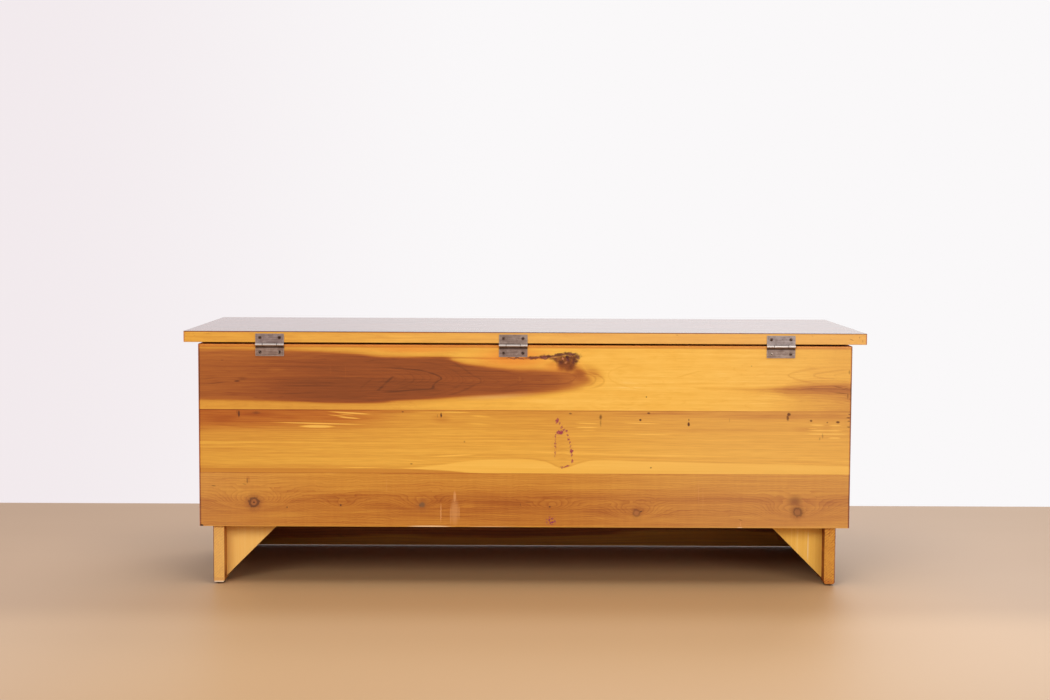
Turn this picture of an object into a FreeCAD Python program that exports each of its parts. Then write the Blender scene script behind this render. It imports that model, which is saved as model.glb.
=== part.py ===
import FreeCAD, Part

import math
import os
import re

import Sketcher

# A cedar blanket chest: a board case on a low plinth, under a flat lid that is hinged at the rear.
#
# Frame, in millimetres: +Z up, the front faces -Y, +X is to the right of someone who stands in front.
# The origin is on the floor, under the middle of the whole chest, hinge barrels included.

doc = FreeCAD.newDocument("BlanketChest")


# ---------------------------------------------------------------------------------------------
# Driving sizes
# ---------------------------------------------------------------------------------------------

SIZES = (
    # Lid
    ("lid_length", 1219, "lid, end to end"),
    ("lid_depth", 432, "lid, front to back"),
    ("lid_core_thickness", 19, "solid boards of the lid"),
    ("lid_veneer_thickness", 1, "dark top sheet of the lid"),
    ("lid_edging_thickness", 2, "strips glued to the lid's front and ends"),
    ("lid_edge_radius", 1.2, "rounding of the lid's lower edges"),
    ("lid_top_radius", 0.6, "rounding of the top sheet's edges"),
    ("lid_gap", 3, "open line between the lid and the case"),
    # Case
    ("lid_end_overhang", 25.8, "lid beyond each end of the case"),
    ("lid_front_overhang", 26, "lid beyond the front of the case"),
    ("case_height", 328, "case walls"),
    ("wall_thickness", 19, "boards of the case walls"),
    ("case_veneer_thickness", 1, "veneer on the case's front and ends"),
    ("rim_radius", 2.5, "rounding of the back wall's top edges"),
    ("back_bottom_height", 97.2, "lowest of the three back boards"),
    ("back_middle_height", 113.5, "middle back board"),
    ("front_bottom_height", 112, "lowest of the three front boards"),
    ("front_middle_height", 104, "middle front board"),
    ("end_bottom_height", 96, "lowest of the three boards of an end wall"),
    ("end_middle_height", 120, "middle board of an end wall"),
    ("wall_tongue_thickness", 6, "tongue on the rear edge of an end wall"),
    ("wall_tongue_length", 6, "how far that tongue enters the back wall"),
    ("spline_thickness", 4, "loose tongue in each front mitre"),
    ("spline_width", 12, "loose tongue, across the mitre"),
    # Floor of the chest
    ("floor_thickness", 16, "floor boards"),
    ("floor_rim_thickness", 8, "edge of the floor that enters the walls"),
    ("floor_groove_depth", 6, "groove in the walls for the floor"),
    ("floor_clearance", 0.5, "room for the floor to move with the weather"),
    ("floor_tongue_thickness", 5, "tongue between two floor boards"),
    ("floor_tongue_length", 5, "how far that tongue stands out"),
    # Plinth
    ("base_board_height", 103, "boards of the plinth"),
    ("base_end_setback", 23.2, "plinth in from each end of the case"),
    ("base_board_thickness", 18.5, "boards of the plinth"),
    ("base_veneer_thickness", 1, "veneer on the plinth's front and ends"),
    ("base_rear_setback", 6, "rear ends of the plinth in from the case's rear face"),
    ("base_front_setback", 14.5, "plinth front in from the case front"),
    ("foot_chamfer", 2.5, "chamfer along the foot of the plinth"),
    ("gusset_leg", 96.5, "each square side of a rear corner gusset"),
    ("gusset_thickness", 13, "rear corner gusset"),
    ("gusset_setback", 28, "gusset in from the plinth's rear ends"),
    ("gusset_edge_radius", 1, "rounding along the gusset's slope"),
    ("glue_block_width", 30, "glue blocks in the plinth's front corners"),
    ("glue_block_edge", 12, "narrow face of a corner block"),
    ("glue_block_rise", 15, "corner block above the foot of the plinth"),
    ("strip_block_length", 80, "glue blocks behind the plinth's front"),
    ("strip_block_width", 22, "the same blocks, both ways across"),
    ("glide_thickness", 3, "head of a nail glide"),
    ("glide_radius", 7.5, "head of a nail glide"),
    ("glide_edge", 1, "bevel round the head of a nail glide"),
    ("glide_nail_radius", 1.2, "nail of a glide"),
    ("glide_nail_length", 14, "nail of a glide"),
    ("glide_inset", 20, "glide in from the end of its board"),
    # Hinges
    ("hinge_length", 50.8, "butt hinge along its pin"),
    ("leaf_reach", 20, "leaf, from the pin's axis to its free edge"),
    ("leaf_thickness", 1.5, "hinge leaf"),
    ("leaf_corner_radius", 0.8, "corners of a leaf"),
    ("knuckle_radius", 2.9, "outside of the rolled barrel"),
    ("knuckle_clearance", 0.3, "barrel off the wood"),
    ("knuckle_notch", 0.4, "leaf off the other leaf's knuckles"),
    ("knuckle_gap", 0.5, "between two knuckles"),
    ("middle_knuckle_length", 24.8, "knuckle of the case leaf"),
    ("hinge_pin_radius", 1.5, "hinge pin"),
    ("pin_clearance", 0.05, "pin in its bores, all round"),
    ("axis_drop", 1.2, "hinge axis below the rim of the case"),
    ("hinge_inset", 127.7, "middle of an outer hinge in from the end of the case"),
    ("middle_hinge_offset", 22, "middle hinge from the middle of the chest"),
    ("leaf_screw_spacing", 34.6, "two screws of a leaf, centre to centre"),
    ("leaf_screw_reach", 13, "leaf screws from the hinge axis"),
    ("lid_open_angle", 95, "how far the lid opens, degrees"),
    # Screws
    ("hinge_screw_radius", 1.6, "shank of a hinge screw"),
    ("hinge_screw_head_radius", 3.05, "head of a hinge screw"),
    ("hinge_screw_head_height", 1.5, "cone of its head"),
    ("hinge_screw_length", 15, "hinge screw, head included"),
    ("batten_screw_radius", 2, "shank of a batten screw"),
    ("batten_screw_head_radius", 4, "head of a batten screw"),
    ("batten_screw_head_height", 2.4, "cone of its head"),
    ("batten_screw_length", 26, "batten screw, head included"),
    ("small_screw_radius", 1.3, "shank of a lock or stay screw"),
    ("small_screw_head_radius", 2.6, "head of a lock or stay screw"),
    ("small_screw_head_height", 1.4, "cone of its head"),
    ("small_screw_length", 10, "lock or stay screw, head included"),
    ("screw_clearance", 0.05, "hole round a screw"),
    # Battens and bumpers under the lid
    ("batten_width", 38, "batten under the lid"),
    ("batten_thickness", 12, "batten under the lid"),
    ("batten_chamfer", 3, "lower edges of a batten"),
    ("batten_inset", 243.7, "middle of a batten in from the end wall"),
    ("batten_end_gap", 12, "batten's end off the inside of the case"),
    ("bumper_radius", 6, "rubber bumper under a front corner of the lid"),
    ("bumper_clearance", 0.3, "bumper off the rim"),
    ("bumper_edge", 0.8, "bevel round a bumper"),
    ("bumper_inset", 45, "bumper behind the case front"),
    # Lid stay
    ("stay_radius", 140, "both stay pivots from the hinge axis"),
    ("stay_closed_angle", 30, "angle between the two pivots with the lid shut, degrees"),
    ("stay_pivot_drop", 12, "stay pivot below the lid"),
    ("arm_width", 15, "slotted arm"),
    ("arm_thickness", 2, "slotted arm"),
    ("arm_end_margin", 1, "spare slot at the shut end"),
    ("slot_clearance", 0.3, "slot round the stud, each side"),
    ("stay_clearance", 0.3, "side play between the stay's parts"),
    ("stud_radius", 3, "stud that runs in the slot"),
    ("stud_head_radius", 6, "head of the stud"),
    ("stud_head_thickness", 2, "head of the stud"),
    ("stud_plate_thickness", 2, "plate that carries the stud"),
    ("stud_plate_width", 20, "plate that carries the stud"),
    ("stud_plate_height", 46, "plate that carries the stud"),
    ("stud_screw_spacing", 32, "screws of that plate"),
    ("stay_corner_radius", 3, "corners of the stay's plates"),
    ("rivet_radius", 2.5, "rivet of the stay's upper pivot"),
    ("rivet_head_radius", 4.5, "heads of that rivet"),
    ("rivet_head_thickness", 1.2, "heads of that rivet"),
    ("bracket_thickness", 2, "bracket under the lid"),
    ("bracket_leg_width", 14, "upright leg of the bracket"),
    ("bracket_foot_width", 15, "foot of the bracket, across"),
    ("bracket_foot_length", 46, "foot of the bracket, along"),
    ("bracket_screw_spacing", 32, "screws of the bracket"),
    # Chest lock
    ("lock_width", 76, "lock case"),
    ("lock_height", 40, "lock case"),
    ("lock_depth", 10, "lock case, let into the front"),
    ("lock_plate_thickness", 1.5, "sheet of the lock case"),
    ("lock_ear_length", 9, "ears of the lock's back plate"),
    ("lock_ear_margin", 4, "ears off the rim and the foot of the lock case"),
    ("lock_screw_spacing", 22, "screws of an ear"),
    ("lock_axis_drop", 22, "lock cylinder below the rim"),
    ("barrel_radius", 8, "fixed sleeve of the lock cylinder"),
    ("collar_radius", 11, "collar of that sleeve on the front"),
    ("collar_thickness", 1.5, "collar of that sleeve"),
    ("collar_edge", 0.5, "bevel round the collar"),
    ("plug_radius", 5.4, "turning plug"),
    ("plug_clearance", 0.05, "plug in its sleeve, all round"),
    ("keyway_width", 1.6, "keyway"),
    ("keyway_height", 7, "keyway"),
    ("keyway_depth", 6, "keyway"),
    ("crank_radius", 6, "drive pin from the plug's axis"),
    ("crank_turn", 90, "turn of the key, degrees"),
    ("crank_disc_radius", 8, "disc that carries the drive pin"),
    ("crank_disc_thickness", 2.4, "disc that carries the drive pin"),
    ("crank_pin_radius", 1.5, "drive pin"),
    ("crank_pin_slack", 0.4, "slot of the bolt round the drive pin"),
    ("lock_clearance", 0.3, "play between the lock's moving parts"),
    ("rail_thickness", 2.7, "rail behind the bolt"),
    ("rail_height", 5, "rail behind the bolt"),
    ("bolt_thickness", 2.5, "sliding bolt"),
    ("bolt_foot_drop", 1, "foot of the bolt below the lock's axis"),
    ("bolt_plate_rise", 9.5, "bolt's plate above the lock's axis"),
    ("bolt_tail", 5.5, "bolt's plate beyond its second hook"),
    ("hook_width", 4, "upright of a bolt hook"),
    ("prong_length", 11, "prong of a bolt hook"),
    ("prong_height", 3.5, "prong of a bolt hook"),
    ("prong_drop", 5.25, "top of a prong below the rim"),
    ("prong_gap", 1, "prong's tip off its staple when unlocked"),
    ("staple_spacing", 32, "centre to centre of the two staples"),
    ("staple_thickness", 3, "staple, along the chest"),
    ("staple_width", 6, "staple, front to back"),
    ("staple_drop", 12, "foot of a staple below the rim"),
    ("staple_rim", 2, "foot of a staple below its eye"),
    ("staple_eye_height", 6, "eye of a staple"),
    ("staple_play", 0.7, "lock case round a staple"),
    ("eye_play", 0.55, "eye of a staple round the prong"),
    ("strike_length", 56, "strike plate"),
    ("strike_width", 14, "strike plate"),
    ("strike_thickness", 1.5, "strike plate"),
    ("strike_screw_spacing", 44, "screws of the strike plate"),
    ("strike_corner_radius", 2, "corners of the strike plate and the lock's ears"),
)

# Places that follow from the sizes.
PLACES = (
    # Levels
    ("case_bottom", "glide_thickness + base_board_height"),
    ("case_top", "case_bottom + case_height"),
    ("lid_bottom", "case_top + lid_gap"),
    ("lid_core_top", "lid_bottom + lid_core_thickness"),
    ("lid_top", "lid_core_top + lid_veneer_thickness"),
    ("axis_z", "case_top - axis_drop"),
    # Front to back
    ("axis_out", "knuckle_radius + knuckle_clearance"),
    ("rear_y", "(lid_depth - axis_out - knuckle_radius) / 2"),
    ("axis_y", "rear_y + axis_out"),
    ("lid_front", "rear_y - lid_depth"),
    ("case_front", "lid_front + lid_front_overhang"),
    ("core_front", "case_front + case_veneer_thickness"),
    ("inner_front", "core_front + wall_thickness"),
    ("inner_rear", "rear_y - wall_thickness"),
    # Half lengths
    ("lid_half", "lid_length / 2"),
    ("lid_core_half", "lid_half - lid_edging_thickness"),
    ("case_half", "lid_half - lid_end_overhang"),
    ("core_half", "case_half - case_veneer_thickness"),
    ("inner_half", "core_half - wall_thickness"),
    # Mitre splines, turned 45 degrees
    ("mitre_x", "core_half - wall_thickness / 2"),
    ("mitre_y", "core_front + wall_thickness / 2"),
    ("spline_half", "spline_thickness / 2 / sqrt(2)"),
    ("spline_run", "spline_width / 2 / sqrt(2)"),
    # Floor of the chest
    ("floor_top", "case_bottom + floor_thickness"),
    ("floor_rim_bottom", "floor_top - floor_rim_thickness"),
    ("floor_front", "inner_front - floor_groove_depth + floor_clearance"),
    ("floor_rear", "inner_rear + floor_groove_depth - floor_clearance"),
    ("floor_half", "inner_half + floor_groove_depth - floor_clearance"),
    ("floor_shoulder", "inner_half - floor_clearance"),
    ("floor_tongue_bottom", "case_bottom + (floor_thickness - floor_tongue_thickness) / 2"),
    ("floor_tongue_top", "floor_tongue_bottom + floor_tongue_thickness"),
    # Plinth
    ("base_half", "case_half - base_end_setback"),
    ("base_outer", "base_half - base_veneer_thickness"),
    ("base_inner", "base_outer - base_board_thickness"),
    ("base_rear", "rear_y - base_rear_setback"),
    ("base_front", "case_front + base_front_setback"),
    ("base_core_front", "base_front + base_veneer_thickness"),
    ("base_inner_front", "base_core_front + base_board_thickness"),
    ("outer_foot_chamfer", "foot_chamfer - base_veneer_thickness"),
    ("gusset_rear", "base_rear - gusset_setback"),
    ("glide_x", "(base_half + base_inner) / 2"),
    ("strip_block_spacing", "base_inner * 2 / 3"),
    # Hinges
    ("outer_hinge_offset", "case_half - hinge_inset"),
    # Battens
    ("batten_offset", "inner_half - batten_inset"),
    ("batten_front", "inner_front + batten_end_gap"),
    ("batten_rear", "inner_rear - batten_end_gap"),
    ("batten_bottom", "lid_bottom - batten_thickness"),
    # Lid stay. Both pivots are at the same distance from the hinge axis, so the arm always lies
    # square to the line that halves their angle, and turns half as fast as the lid.
    ("pivot_dip", "asin((axis_drop + lid_gap - stay_pivot_drop) / stay_radius * -1)"),
    ("stay_pivot_y", "axis_y - stay_radius * cos(pivot_dip)"),
    ("stay_pivot_z", "axis_z - stay_radius * sin(pivot_dip)"),
    ("stud_dip", "pivot_dip + stay_closed_angle * 1 deg"),
    ("stud_y", "axis_y - stay_radius * cos(stud_dip)"),
    ("stud_z", "axis_z - stay_radius * sin(stud_dip)"),
    ("arm_tilt", "pivot_dip + stay_closed_angle / 2 * 1 deg"),
    ("arm_shut_reach", "2 * stay_radius * sin(stay_closed_angle / 2 * 1 deg)"),
    ("arm_open_reach", "2 * stay_radius * sin((stay_closed_angle + lid_open_angle) / 2 * 1 deg)"),
    ("slot_top", "arm_shut_reach - arm_end_margin"),
    ("arm_right", "inner_half - stud_plate_thickness - stay_clearance"),
    ("arm_left", "arm_right - arm_thickness"),
    ("bracket_right", "arm_left - stay_clearance"),
    ("bracket_left", "bracket_right - bracket_thickness"),
    ("bracket_screw_x", "bracket_left - bracket_foot_width / 2"),
    # Chest lock
    ("lock_z", "case_top - lock_axis_drop"),
    ("lock_front", "inner_front - lock_depth"),
    ("lock_bottom", "case_top - lock_height"),
    ("lock_half", "lock_width / 2"),
    ("lock_ear_half", "lock_half + lock_ear_length"),
    ("lock_plate_y", "inner_front - lock_plate_thickness"),
    ("lock_screw_x", "lock_half + lock_ear_length / 2"),
    ("lock_screw_z", "case_top - lock_height / 2"),
    ("rail_front", "lock_plate_y - rail_thickness"),
    ("bolt_rear", "rail_front - lock_clearance"),
    ("bolt_front", "bolt_rear - bolt_thickness"),
    ("bolt_y", "(bolt_front + bolt_rear) / 2"),
    ("bolt_foot", "lock_z - bolt_foot_drop"),
    ("bolt_plate_top", "lock_z + bolt_plate_rise"),
    ("prong_top", "case_top - prong_drop"),
    ("prong_bottom", "prong_top - prong_height"),
    ("left_tip", "(staple_spacing + staple_thickness) / -2 - prong_gap"),
    ("right_tip", "(staple_spacing - staple_thickness) / 2 - prong_gap"),
    ("crank_x", "crank_radius * sin(crank_turn / 2 * 1 deg)"),
    ("crank_z", "crank_radius * cos(crank_turn / 2 * 1 deg)"),
    ("disc_front", "lock_front + lock_clearance"),
    ("disc_rear", "disc_front + crank_disc_thickness"),
    ("staple_foot", "case_top - staple_drop"),
    ("eye_bottom", "staple_foot + staple_rim"),
    ("strike_bottom", "lid_bottom - strike_thickness"),
)


def fill_sheet(name, rows):
    """Put one named cell per row in a new spreadsheet."""
    sheet = doc.addObject("Spreadsheet::Sheet", name)
    for number, row in enumerate(rows, start=1):
        sheet.set(f"A{number}", row[0])
        sheet.set(f"B{number}", str(row[1]) if name == "Sizes" else "=" + full(row[1]))
        sheet.setAlias(f"B{number}", row[0])
        home[row[0]] = name
    doc.recompute()
    return sheet


def full(text):
    """The same formula with each size's sheet in front of its name."""
    return re.sub(r"[a-z]\w*", lambda word: f"{home[word[0]]}.{word[0]}" if word[0] in home else word[0], str(text))


home = {}
sizes = fill_sheet("Sizes", SIZES)
fill_sheet("Places", PLACES)


# ---------------------------------------------------------------------------------------------
# Helpers
# ---------------------------------------------------------------------------------------------

def number(text):
    """What a formula comes to now."""
    result = sizes.evalExpression(full(text))
    return float(getattr(result, "Value", result))


def bind(thing, prop, text):
    """Tie a property of an object to a formula of the sheets' sizes."""
    thing.setExpression(prop, full(text))


def move(thing, place):
    """Tie an object's position to three formulas."""
    for letter, text in zip("xyz", place):
        bind(thing, f"Placement.Base.{letter}", text)


# Turns that lay an object's own Z axis along each direction.
ALONG = {
    "+x": FreeCAD.Rotation(FreeCAD.Vector(0, 1, 0), 90),
    "-x": FreeCAD.Rotation(FreeCAD.Vector(0, 1, 0), -90),
    "+y": FreeCAD.Rotation(FreeCAD.Vector(1, 0, 0), -90),
    "-y": FreeCAD.Rotation(FreeCAD.Vector(1, 0, 0), 90),
    "+z": FreeCAD.Rotation(),
}

subparts = []


def keep(thing, node):
    """Name a finished sub-part. Its label is the name of its file."""
    thing.Label = node
    subparts.append(thing)
    return thing


def new_body(name):
    return doc.addObject("PartDesign::Body", name)


def draw(sketch, points):
    """A closed outline of straight lines, each corner tied to two formulas."""
    corners = [FreeCAD.Vector(number(across), number(up), 0) for across, up in points]
    for index, corner in enumerate(corners):
        following = corners[(index + 1) % len(corners)]
        sketch.addGeometry(Part.LineSegment(corner, following))
    for index, (point, corner) in enumerate(zip(points, corners)):
        following = (index + 1) % len(corners)
        sketch.addConstraint(Sketcher.Constraint("Coincident", index, 2, following, 1))
        for kind, text, value in zip(("DistanceX", "DistanceY"), point, (corner.x, corner.y)):
            row = sketch.addConstraint(Sketcher.Constraint(kind, index, 1, value))
            bind(sketch, f"Constraints[{row}]", text)


def draw_round_bar(sketch, top, bottom, radius):
    """An upright bar with round ends, centred on the sketch's own vertical axis."""
    high, low, half = number(top), number(bottom), number(radius)
    upward = FreeCAD.Vector(0, 0, 1)
    for middle, start in ((high, 0), (low, math.pi)):
        circle = Part.Circle(FreeCAD.Vector(0, middle, 0), upward, half)
        side = -half if start == 0 else half
        other = low if start == 0 else high
        sketch.addGeometry(Part.ArcOfCircle(circle, start, start + math.pi))
        sketch.addGeometry(Part.LineSegment(FreeCAD.Vector(side, middle, 0), FreeCAD.Vector(side, other, 0)))
    for index in range(4):
        sketch.addConstraint(Sketcher.Constraint("Tangent", index, 2, (index + 1) % 4, 1))
    sketch.addConstraint(Sketcher.Constraint("Equal", 0, 2))
    row = sketch.addConstraint(Sketcher.Constraint("Radius", 0, half))
    bind(sketch, f"Constraints[{row}]", radius)
    for arc, text, value in ((0, top, high), (2, bottom, low)):
        sketch.addConstraint(Sketcher.Constraint("DistanceX", arc, 3, 0))
        row = sketch.addConstraint(Sketcher.Constraint("DistanceY", arc, 3, value))
        bind(sketch, f"Constraints[{row}]", text)


def sketch_on(body, plane, shift):
    """A new sketch on one of the body's own planes, moved along the plane's normal."""
    role = f"{plane}_Plane"
    support = [feature for feature in body.Origin.OriginFeatures if feature.Role == role][0]
    sketch = body.newObject("Sketcher::SketchObject", "Outline")
    sketch.AttachmentSupport = [(support, "")]
    sketch.MapMode = "FlatFace"
    bind(sketch, "AttachmentOffset.Base.z", shift)
    return sketch


def pad(body, sketch, length):
    feature = body.newObject("PartDesign::Pad", "Pad")
    feature.Profile = sketch
    bind(feature, "Length", length)
    return feature


def pocket_through(body, sketch):
    """Cut a sketch's outline through the whole body, both ways."""
    doc.recompute()
    before = body.Shape.Volume
    feature = body.newObject("PartDesign::Pocket", "Pocket")
    feature.Profile = sketch
    feature.Type = 1
    feature.Midplane = True
    doc.recompute()
    if body.Shape.Volume >= before:
        raise SystemExit(f"{body.Label}: a pocket cut nothing")


def plank(name, outline, low, high, plane="XY"):
    """A board whose outline lies in a plane, between two levels along that plane's axis."""
    body = new_body(name)
    if plane == "XZ":
        low, high = f"-({high})", f"-({low})"
    sketch = sketch_on(body, plane, low)
    draw(sketch, outline)
    pad(body, sketch, f"({high}) - ({low})")
    return body


def rectangle(first, second):
    """The four corners of a rectangle between two ranges."""
    (left, right), (low, high) = first, second
    return ((left, low), (right, low), (right, high), (left, high))


def box(body, x, y, z, cut=True):
    """Cut a square-cornered space out of the body, or add a block to it."""
    kind = "Subtractive" if cut else "Additive"
    feature = body.newObject(f"PartDesign::{kind}Box", "Groove" if cut else "Block")
    for prop, (low, high) in zip(("Length", "Width", "Height"), (x, y, z)):
        bind(feature, prop, f"({high}) - ({low})")
    move(feature, (x[0], y[0], z[0]))
    return feature


def rod(body, place, direction, radius, length, cut=True):
    """Bore a round hole in the body, or add a round rod to it."""
    kind = "Subtractive" if cut else "Additive"
    feature = body.newObject(f"PartDesign::{kind}Cylinder", "Bore" if cut else "Rod")
    feature.Placement.Rotation = ALONG[direction]
    bind(feature, "Radius", radius)
    bind(feature, "Height", length)
    move(feature, place)
    return feature


def ease(body, kind, radius, wanted):
    """Round or chamfer the edges of the body that the test picks by their two ends."""
    doc.recompute()
    base = body.Tip
    names = []
    for index, edge in enumerate(base.Shape.Edges, start=1):
        ends = [vertex.Point for vertex in edge.Vertexes]
        if len(ends) == 2 and wanted(*ends):
            names.append(f"Edge{index}")
    if not names:
        raise SystemExit(f"{body.Label}: no edge to ease")
    feature = body.newObject(f"PartDesign::{kind}", kind)
    feature.Base = (base, names)
    bind(feature, "Radius" if kind == "Fillet" else "Size", radius)
    return feature


def lies_at(axis, text):
    """A test for an edge whose two ends lie at one level of an axis."""
    level = number(text)
    return lambda start, end: all(abs(getattr(point, axis) - level) < 1e-4 for point in (start, end))


def runs_along(axis):
    """A test for an edge parallel to an axis."""
    others = "xyz".replace(axis, "")
    return lambda start, end: all(abs(getattr(start, name) - getattr(end, name)) < 1e-4 for name in others)


def both(*tests):
    return lambda start, end: all(test(start, end) for test in tests)


def turned_outline(name, points):
    """Half of a turned piece's section: across from its axis, and along it."""
    sketch = doc.addObject("Sketcher::SketchObject", name)
    sketch.Placement.Rotation = FreeCAD.Rotation(FreeCAD.Vector(1, 0, 0), 90)
    draw(sketch, points)
    return sketch


def turn(outline, place, direction):
    """One turned piece, with its start at a place and its axis along a direction."""
    piece = doc.addObject("Part::Revolution", f"{outline.Label}_piece")
    piece.Source = outline
    piece.Axis = (0, 0, 1)
    piece.Angle = 360
    piece.Solid = True
    piece.Placement.Rotation = ALONG[direction]
    move(piece, place)
    return piece


def group(node, pieces):
    """Like pieces that share one node."""
    compound = doc.addObject("Part::Compound", node)
    compound.Links = pieces
    return keep(compound, node)


def screw_outline(kind):
    """A countersunk wood screw: cone head, plain shank, point."""
    tip = f"{kind}_radius * 2"
    return turned_outline(f"{kind}_outline", (
        ("0", "0"),
        (f"{kind}_head_radius", "0"),
        (f"{kind}_radius", f"{kind}_head_height"),
        (f"{kind}_radius", f"{kind}_length - {tip}"),
        ("0", f"{kind}_length"),
    ))


def screw_hole(body, kind, place, direction, sunk=False):
    """The room that a screw needs in one piece, with its cone where its head sits in that piece."""
    rod(body, place, direction, f"{kind}_radius + screw_clearance", f"{kind}_length + screw_clearance")
    if sunk:
        cone = body.newObject("PartDesign::SubtractiveCone", "Countersink")
        cone.Placement.Rotation = ALONG[direction]
        bind(cone, "Radius1", f"{kind}_head_radius + screw_clearance")
        bind(cone, "Radius2", f"{kind}_radius + screw_clearance")
        bind(cone, "Height", f"{kind}_head_height")
        move(cone, place)


LEFT_AND_RIGHT = (("left", "-1"), ("right", "1"))


# ---------------------------------------------------------------------------------------------
# Where the screws are. Each entry is the middle of a screw's head face.
# ---------------------------------------------------------------------------------------------

HINGES = (
    ("left", "-outer_hinge_offset"),
    ("middle", "middle_hinge_offset"),
    ("right", "outer_hinge_offset"),
)


def leaf_screws(sign):
    """Screws of all the case leaves (sign -1) or all the lid leaves (sign 1)."""
    return [
        (f"{hinge_x} + {side} * leaf_screw_spacing / 2", "rear_y + leaf_thickness", f"axis_z + {sign} * leaf_screw_reach")
        for _, hinge_x in HINGES
        for side in (-1, 1)
    ]


CASE_LEAF_SCREWS = leaf_screws(-1)
LID_LEAF_SCREWS = leaf_screws(1)

LOCK_SCREWS = [
    (f"{side} * lock_screw_x", "inner_front", f"lock_screw_z + {level} * lock_screw_spacing / 2")
    for side in (-1, 1)
    for level in (-1, 1)
]
STUD_SCREWS = [
    ("inner_half - stud_plate_thickness", "stud_y", f"stud_z + {level} * stud_screw_spacing / 2")
    for level in (-1, 1)
]
STRIKE_SCREWS = [(f"{side} * strike_screw_spacing / 2", "bolt_y", "strike_bottom") for side in (-1, 1)]
BRACKET_SCREWS = [
    ("bracket_screw_x", f"stay_pivot_y + {side} * bracket_screw_spacing / 2", "lid_bottom - bracket_thickness")
    for side in (-1, 1)
]

# The lid's four boards lie side by side from front to back. Each batten has one screw in each
# board: in the middle of the stretch of board that lies over the batten.
LID_BOARDS = ("front", "front_middle", "rear_middle", "rear")
lid_board_width = "(lid_depth - lid_edging_thickness) / 4"


def lid_seam(index):
    return f"(lid_front + lid_edging_thickness + {index} * {lid_board_width})"


BATTEN_SCREW_LINES = (
    f"(batten_front + {lid_seam(1)}) / 2",
    f"({lid_seam(1)} + {lid_seam(2)}) / 2",
    f"({lid_seam(2)} + {lid_seam(3)}) / 2",
    f"({lid_seam(3)} + batten_rear) / 2",
)
BATTEN_SCREWS = [
    [(f"{side} * batten_offset", line, "batten_bottom") for side in (-1, 1)]
    for line in BATTEN_SCREW_LINES
]


# ---------------------------------------------------------------------------------------------
# Case walls
# ---------------------------------------------------------------------------------------------

def wall_levels(wall):
    """The three boards of a wall, from the foot up: name, lower level, upper level."""
    first = f"case_bottom + {wall}_bottom_height"
    second = f"{first} + {wall}_middle_height"
    return (("bottom", "case_bottom", first), ("middle", first, second), ("top", second, "case_top"))


def make_back():
    """The back wall: three boards edge to edge, over the ends of the end walls."""
    groove_end = "inner_half + wall_tongue_thickness"
    groove_depth = "inner_rear + wall_tongue_length"
    outline = [("-core_half", "rear_y"), ("-core_half", "inner_rear")]
    for sign in ("-", ""):
        near, far = ("inner_half", groove_end) if sign == "" else (groove_end, "inner_half")
        outline += [
            (f"{sign}({near})", "inner_rear"),
            (f"{sign}({near})", groove_depth),
            (f"{sign}({far})", groove_depth),
            (f"{sign}({far})", "inner_rear"),
        ]
    outline += [("core_half", "inner_rear"), ("core_half", "rear_y")]
    for place, low, high in wall_levels("back"):
        board = plank(f"back_board_{place}", outline, low, high)
        if place == "bottom":
            far = "(inner_half + floor_groove_depth)"
            box(board, (f"-{far}", far), ("inner_rear", "inner_rear + floor_groove_depth"),
                ("floor_rim_bottom", "floor_top"))
        if place == "top":
            ease(board, "Fillet", "rim_radius",
                 both(lies_at("z", "case_top"), lies_at("y", "rear_y")))
            for at in CASE_LEAF_SCREWS:
                screw_hole(board, "hinge_screw", at, "-y")
        keep(board, f"back_board_{place}")


def make_ends():
    """The end walls: mitred to the front with a loose tongue, tongued into the back."""
    for side, sign in LEFT_AND_RIGHT:
        outline = (
            (f"{sign} * inner_half", "inner_front"),
            (f"{sign} * (mitre_x - spline_half)", "mitre_y + spline_half"),
            (f"{sign} * (mitre_x - spline_half + spline_run)", "mitre_y + spline_half + spline_run"),
            (f"{sign} * (mitre_x + spline_half + spline_run)", "mitre_y - spline_half + spline_run"),
            (f"{sign} * (mitre_x + spline_half)", "mitre_y - spline_half"),
            (f"{sign} * core_half", "core_front"),
            (f"{sign} * core_half", "inner_rear"),
            (f"{sign} * (inner_half + wall_tongue_thickness)", "inner_rear"),
            (f"{sign} * (inner_half + wall_tongue_thickness)", "inner_rear + wall_tongue_length"),
            (f"{sign} * inner_half", "inner_rear + wall_tongue_length"),
        )
        for place, low, high in wall_levels("end"):
            board = plank(f"{side}_board_{place}", outline, low, high)
            if place == "bottom":
                reach = ("inner_half", "inner_half + floor_groove_depth")
                if side == "left":
                    reach = ("-inner_half - floor_groove_depth", "-inner_half")
                rear = "inner_rear + max(wall_tongue_length; floor_groove_depth)"
                box(board, reach, ("inner_front - floor_groove_depth", rear), ("floor_rim_bottom", "floor_top"))
            if place != "bottom" and side == "right":
                for at in STUD_SCREWS:
                    screw_hole(board, "small_screw", at, "+x")
            keep(board, f"{side}_board_{place}")


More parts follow.
